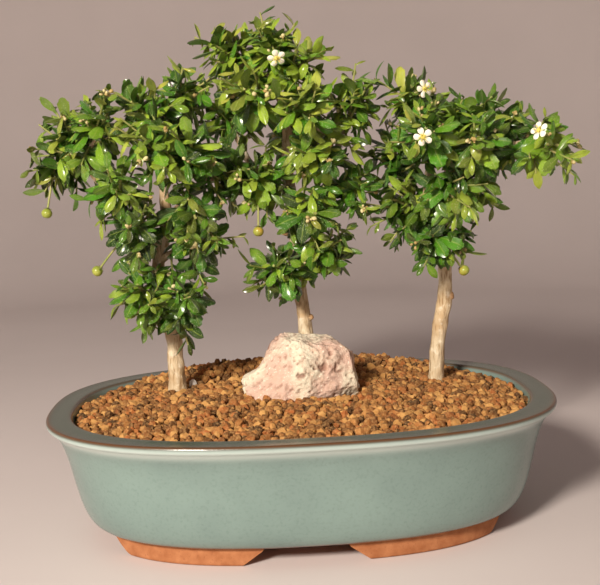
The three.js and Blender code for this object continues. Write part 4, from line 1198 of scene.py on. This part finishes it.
def glazed_stoneware():
    """Celadon glaze on stoneware, fired in the kiln: a soft grey-blue green that clouds where
    it is thick, goes thin and olive on the lip, breaks to brown on the edges, and stops at
    bare terracotta above the feet. A pale line below the lip is a painted highlight, and the
    lip's flat top is darkened further by a painted reflection of dark surroundings."""
    material, tree, marks = new_material(
        "celadon_glaze_on_stoneware", ["glazed", "band", "rim", "thin"], IOR=1.52)
    celadon = coats(
        tree, "#728782",
        (mottle(tree, 34), "#7c928c"),
        (mottle(tree, 1.6, 0.5, 0.72, 0.2), "#53645e"),
        # painted highlight: pale line below the lip
        (add(tree, "MapRange", {0: marks["band"], 4: 0.9}), "#c9d6d1"),
        # dark lip top: thin glaze, and a painted reflection of dark surroundings
        (add(tree, "MapRange", {0: marks["rim"], 4: 0.9}), "#3d493d"),
        (marks["thin"], "#5c3c26"),
    )
    clay = coats(
        tree, "#935830",
        (mottle(tree, 5), "#ab7047"),
        (mottle(tree, 0.9, 0.6, 0.72, 0.6), "#7c4728"),
    )
    colour = coats(tree, clay, (marks["glazed"], celadon))
    rough = add(tree, "MapRange", {0: marks["glazed"], 3: 0.85, 4: 0.24})
    return dressed(material, colour, mottle(tree, 2.4, 0.2, 0.8), 0.06, rough)


def baked_clay_grit():
    """Low-fired clay grit: matt tan to rust grains with dusty faces; the bed seen in the gaps
    between them is painted dark as shade.
    """
    material, tree, marks = new_material(
        "baked_clay_grit", ["tone", "rust", "white"], Roughness=0.95, IOR=1.45)
    colour = coats(
        tree, "#3e260f",
        (add(tree, "MapRange", {0: marks["tone"], 2: 0.5}), "#8c5b2c"),
        (add(tree, "MapRange", {0: marks["tone"], 1: 0.5}), "#c69555"),
        (marks["rust"], "#a05c2c"),
        (mottle(tree, 1.1, 0.45, 0.7, 0.4), "#cfa66d"),
        (marks["white"], "#f4efe6"),
    )
    return dressed(material, colour, mottle(tree, 0.7, 0.2, 0.8), 0.15)


def tufa_stone():
    """Weathered tufa: chalky cream stone with pinkish patches, darker in its pits."""
    material, tree, marks = new_material(
        "weathered_tufa", ["pink", "pit"], Roughness=0.97, IOR=1.5)
    colour = coats(
        tree, "#d9cfb8",
        (marks["pink"], "#cbac9b"),
        (mottle(tree, 3.2, 0.5, 0.72, 0.6), "#c9a68f"),
        (mottle(tree, 1.3, 0.58, 0.7, 0.6), "#fbf0dc"),
        (add(tree, "MapRange", {0: marks["pit"], 4: 0.85}), "#8a6656"),
    )
    return dressed(material, colour, mottle(tree, 0.8, 0.2, 0.8, detail=5.0), 0.3)


def pale_bark():
    """Young fukien tea bark: cream to tan and dry, with fine fissures along the wood and
    browner wood on pruned ends."""
    material, tree, marks = new_material("pale_fissured_bark", ["cut"], Roughness=0.9, IOR=1.45)
    along = (1, 1, 0.2)
    cut_wood = coats(tree, "#8d5f38", (mottle(tree, 2.2), "#d0a06c"))
    colour = coats(
        tree, "#b69a74",
        (mottle(tree, 9), "#d3c4a6"),
        (mottle(tree, 1.5, 0.5, 0.66, 0.8, 4.0, along), "#8e6f48"),
        (mottle(tree, 4.5, 0.58, 0.7, 0.5), "#e9dfca"),
        (add(tree, "MapRange", {0: marks["cut"], 4: 0.85}), cut_wood),
    )
    return dressed(material, colour, mottle(tree, 1.2, 0.2, 0.8, 1.0, 4.0, along), 0.45)


def waxy_leaf():
    """Fukien tea leaf: thick and waxy, dark green above with sharp glints, a pale midrib,
    faint side veins and white dots, paler underneath; young leaves are yellow-green. The dots
    are drawn about twice as large as life, so that they show."""
    material, tree, marks = new_material(
        "waxy_leaf", ["tone", "young", "along", "across", "under"],
        Roughness=0.32, IOR=1.48, Coat_Weight=0.5, Coat_Roughness=0.2)
    across = add(tree, "Math", {0: marks["across"]}, operation="ABSOLUTE")
    rib = add(tree, "MapRange", {0: across, 1: 0.14, 2: 0.0})
    colour = coats(
        # tone runs from dark to light green: each leaf's own tone, with painted light and shade
        tree, "#223f0a",
        (add(tree, "MapRange", {0: marks["tone"], 2: 0.625}), "#539318"),
        (add(tree, "MapRange", {0: marks["tone"], 1: 0.615385}), "#abcc3a"),
        (marks["young"], "#cfd255"),
        (mottle(tree, 5, top=0.25), "#345c16"),
        (add(tree, "MapRange", {0: rib, 4: 0.55}), "#9db24c"),
        (add(tree, "MapRange", {0: marks["under"], 4: 0.5}), "#7f9a58"),
        (mottle(tree, 0.55, 0.68, 0.74, 0.5, 0.0), "#c9d2a6"),
    )
    climb = add(tree, "Math", {0: across, 1: -1.6, 2: marks["along"]}, operation="MULTIPLY_ADD")
    waves = add(tree, "Math", {0: climb, 1: 44.0}, operation="MULTIPLY")
    veins = add(tree, "Math", {0: waves}, operation="SINE")
    return dressed(material, colour, add(tree, "Math", {0: veins, 1: rib}), 0.08)


def green_shoot():
    """Young shoot or stalk: thin green skin, a little tan where it turns to wood."""
    material, tree, _ = new_material("green_shoot", Roughness=0.55, IOR=1.45)
    colour = coats(tree, "#74883a", (mottle(tree, 6), "#a8a066"))
    return dressed(material, colour, mottle(tree, 0.8, 0.2, 0.8), 0.08)


def dry_cup():
    """Buds and spent flower cups: papery, cream where fresh and tan where dried."""
    material, tree, marks = new_material("dry_flower_cup", ["tone"], Roughness=0.8, IOR=1.4)
    stain = mottle(tree, 1, top=0.3)
    return dressed(material, coats(
        tree, "#a0874f", (marks["tone"], "#d5cd9b"), (stain, "#8f7a3c")))


def white_petal():
    """Petal: soft white and thin, warmer towards its foot, with faint lengthwise veins."""
    material, tree, marks = new_material(
        "white_petal", ["along", "across"], Roughness=0.6, IOR=1.4)
    foot = add(tree, "MapRange", {0: marks["along"], 1: 0.45, 2: 0.0})
    waves = add(tree, "Math", {0: marks["across"], 1: 16.0}, operation="MULTIPLY")
    veins = add(tree, "Math", {0: waves}, operation="SINE")
    return dressed(material, coats(tree, "#f2eedb", (foot, "#d6cf8c")), veins, 0.06)


def yellow_stamen():
    """Eye and stamens: dusty yellow pollen."""
    material, tree, _ = new_material("yellow_stamen", Roughness=0.8, IOR=1.4)
    return dressed(material, coats(tree, "#b6a93f", (mottle(tree, 0.8), "#e6d874")))


def berry_skin():
    """Berry: taut shiny skin, yellow-green, flushed with orange where it ripens."""
    material, tree, marks = new_material("berry_skin", ["tone"], Roughness=0.28, IOR=1.45)
    flush = mottle(tree, 6, 0.45, 0.7)
    ripe = add(tree, "Math", {0: flush, 1: marks["tone"]}, operation="MULTIPLY")
    return dressed(material, coats(
        tree, "#7d8c35", (mottle(tree, 4), "#a2a64a"), (ripe, "#c98b3c")))


def potting_soil():
    """Potting soil: dark crumbs of bark and peat, fully matt."""
    material, tree, _ = new_material("potting_soil", Roughness=1.0, IOR=1.4)
    colour = coats(tree, "#241a12", (mottle(tree, 3), "#4a3524"))
    return dressed(material, colour, mottle(tree, 1.5), 0.6)


def screen_plastic():
    """Moulded polyethylene mesh: dark, slightly waxy, with a fine moulding grain."""
    material, tree, _ = new_material("moulded_mesh_plastic", Roughness=0.6, IOR=1.5)
    colour = coats(tree, "#232626", (mottle(tree, 2), "#303433"))
    return dressed(material, colour, mottle(tree, 0.6), 0.03)


def studio_paper():
    """Backdrop paper: pale, warm and matt, with hardly visible unevenness."""
    material, tree, _ = new_material("studio_paper", Roughness=0.9, IOR=1.4)
    return dressed(material, coats(tree, "#ccc2c0", (mottle(tree, 300), "#d2c8c6")))


# Scene

def finish_solids():
    """Soil and drain screens keep their solids and get their finish."""
    soil, plastic = potting_soil(), screen_plastic()
    solids = {"soil": soil, "drain_screen_left": plastic, "drain_screen_right": plastic}
    for name, finish in solids.items():
        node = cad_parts[name]
        node.data.materials.clear()
        node.data.materials.append(finish)


def make_stage():
    """Floor that curves up into a wall all round: flat, then a quarter round, then upright. It
    is closed in the middle and open at the top, where the pale light comes in."""
    turn = even_turns(96)
    bend = np.linspace(0, 1, 17) * np.pi / 2
    reach = np.concatenate([
        np.linspace(5, STAGE_FLAT, 12), STAGE_FLAT + STAGE_BEND * np.sin(bend),
        [STAGE_FLAT + STAGE_BEND],
    ])
    level = np.concatenate([np.zeros(12), STAGE_BEND - STAGE_BEND * np.cos(bend), [STAGE_TOP]])
    rings = level_rings(np.cos(turn) * reach[:, None], np.sin(turn) * reach[:, None],
                        level[:, None])
    bowl = skins(rings[:, :, ::-1])
    bowl["faces"].pop()
    floor = new_piece("stage_floor", [bowl], [studio_paper()], None)


def add_light():
    """Warm square area light from the left front, turned to the middle of the trees."""
    light = bpy.data.lights.new("key", "AREA")
    light.size, light.energy, light.color = KEY_SIZE, KEY_POWER, paint("#fff4e6")[:3]
    lamp = bpy.data.objects.new("key", light)
    lamp.location = Vector(KEY_PLACE) * MM
    way = Vector(KEY_AIM) * MM - lamp.location
    lamp.rotation_euler = way.to_track_quat("-Z", "Y").to_euler()
    lamp.visible_camera = False
    bpy.context.scene.collection.objects.link(lamp)


def add_sky():
    """Weak pale light from all round."""
    world = bpy.data.worlds.new("studio")
    world.use_nodes = True
    sky = world.node_tree.nodes["Background"]
    sky.inputs["Color"].default_value = paint("#e9e6e6")
    sky.inputs["Strength"].default_value = SKY_STRENGTH
    bpy.context.scene.world = world


def add_camera():
    """Camera at the photograph's viewing angle: turned round the aim by azimuth and elevation,
    then rolled about its own axis."""
    azimuth, elevation, roll = (math.radians(a) for a in CAMERA_ANGLES)
    back = Vector((math.sin(azimuth) * math.cos(elevation),
                   -math.cos(azimuth) * math.cos(elevation), math.sin(elevation)))
    right = (-back).cross(Vector(UP)).normalized()
    up = back.cross(right)
    rolled_right = right * math.cos(roll) + up * math.sin(roll)
    rolled_up = up * math.cos(roll) - right * math.sin(roll)
    turn = Matrix((rolled_right, rolled_up, back)).transposed().to_4x4()
    place = (Vector(CAMERA_AIM) + back * CAMERA_DISTANCE) * MM
    data = bpy.data.cameras.new("camera")
    data.lens = CAMERA_LENS
    camera = bpy.data.objects.new("camera", data)
    camera.matrix_world = Matrix.Translation(place) @ turn
    bpy.context.scene.collection.objects.link(camera)
    bpy.context.scene.camera = camera


add_camera()
add_light()
add_sky()
make_stage()
finish_solids()
make_pot()
make_gravel()
make_rock()
all_sprays = lay_out_trees()
make_wood(all_sprays)
make_foliage(all_sprays)
make_flowers(all_sprays)
make_berries(all_sprays)

bpy.context.scene.view_settings.view_transform = "Standard"
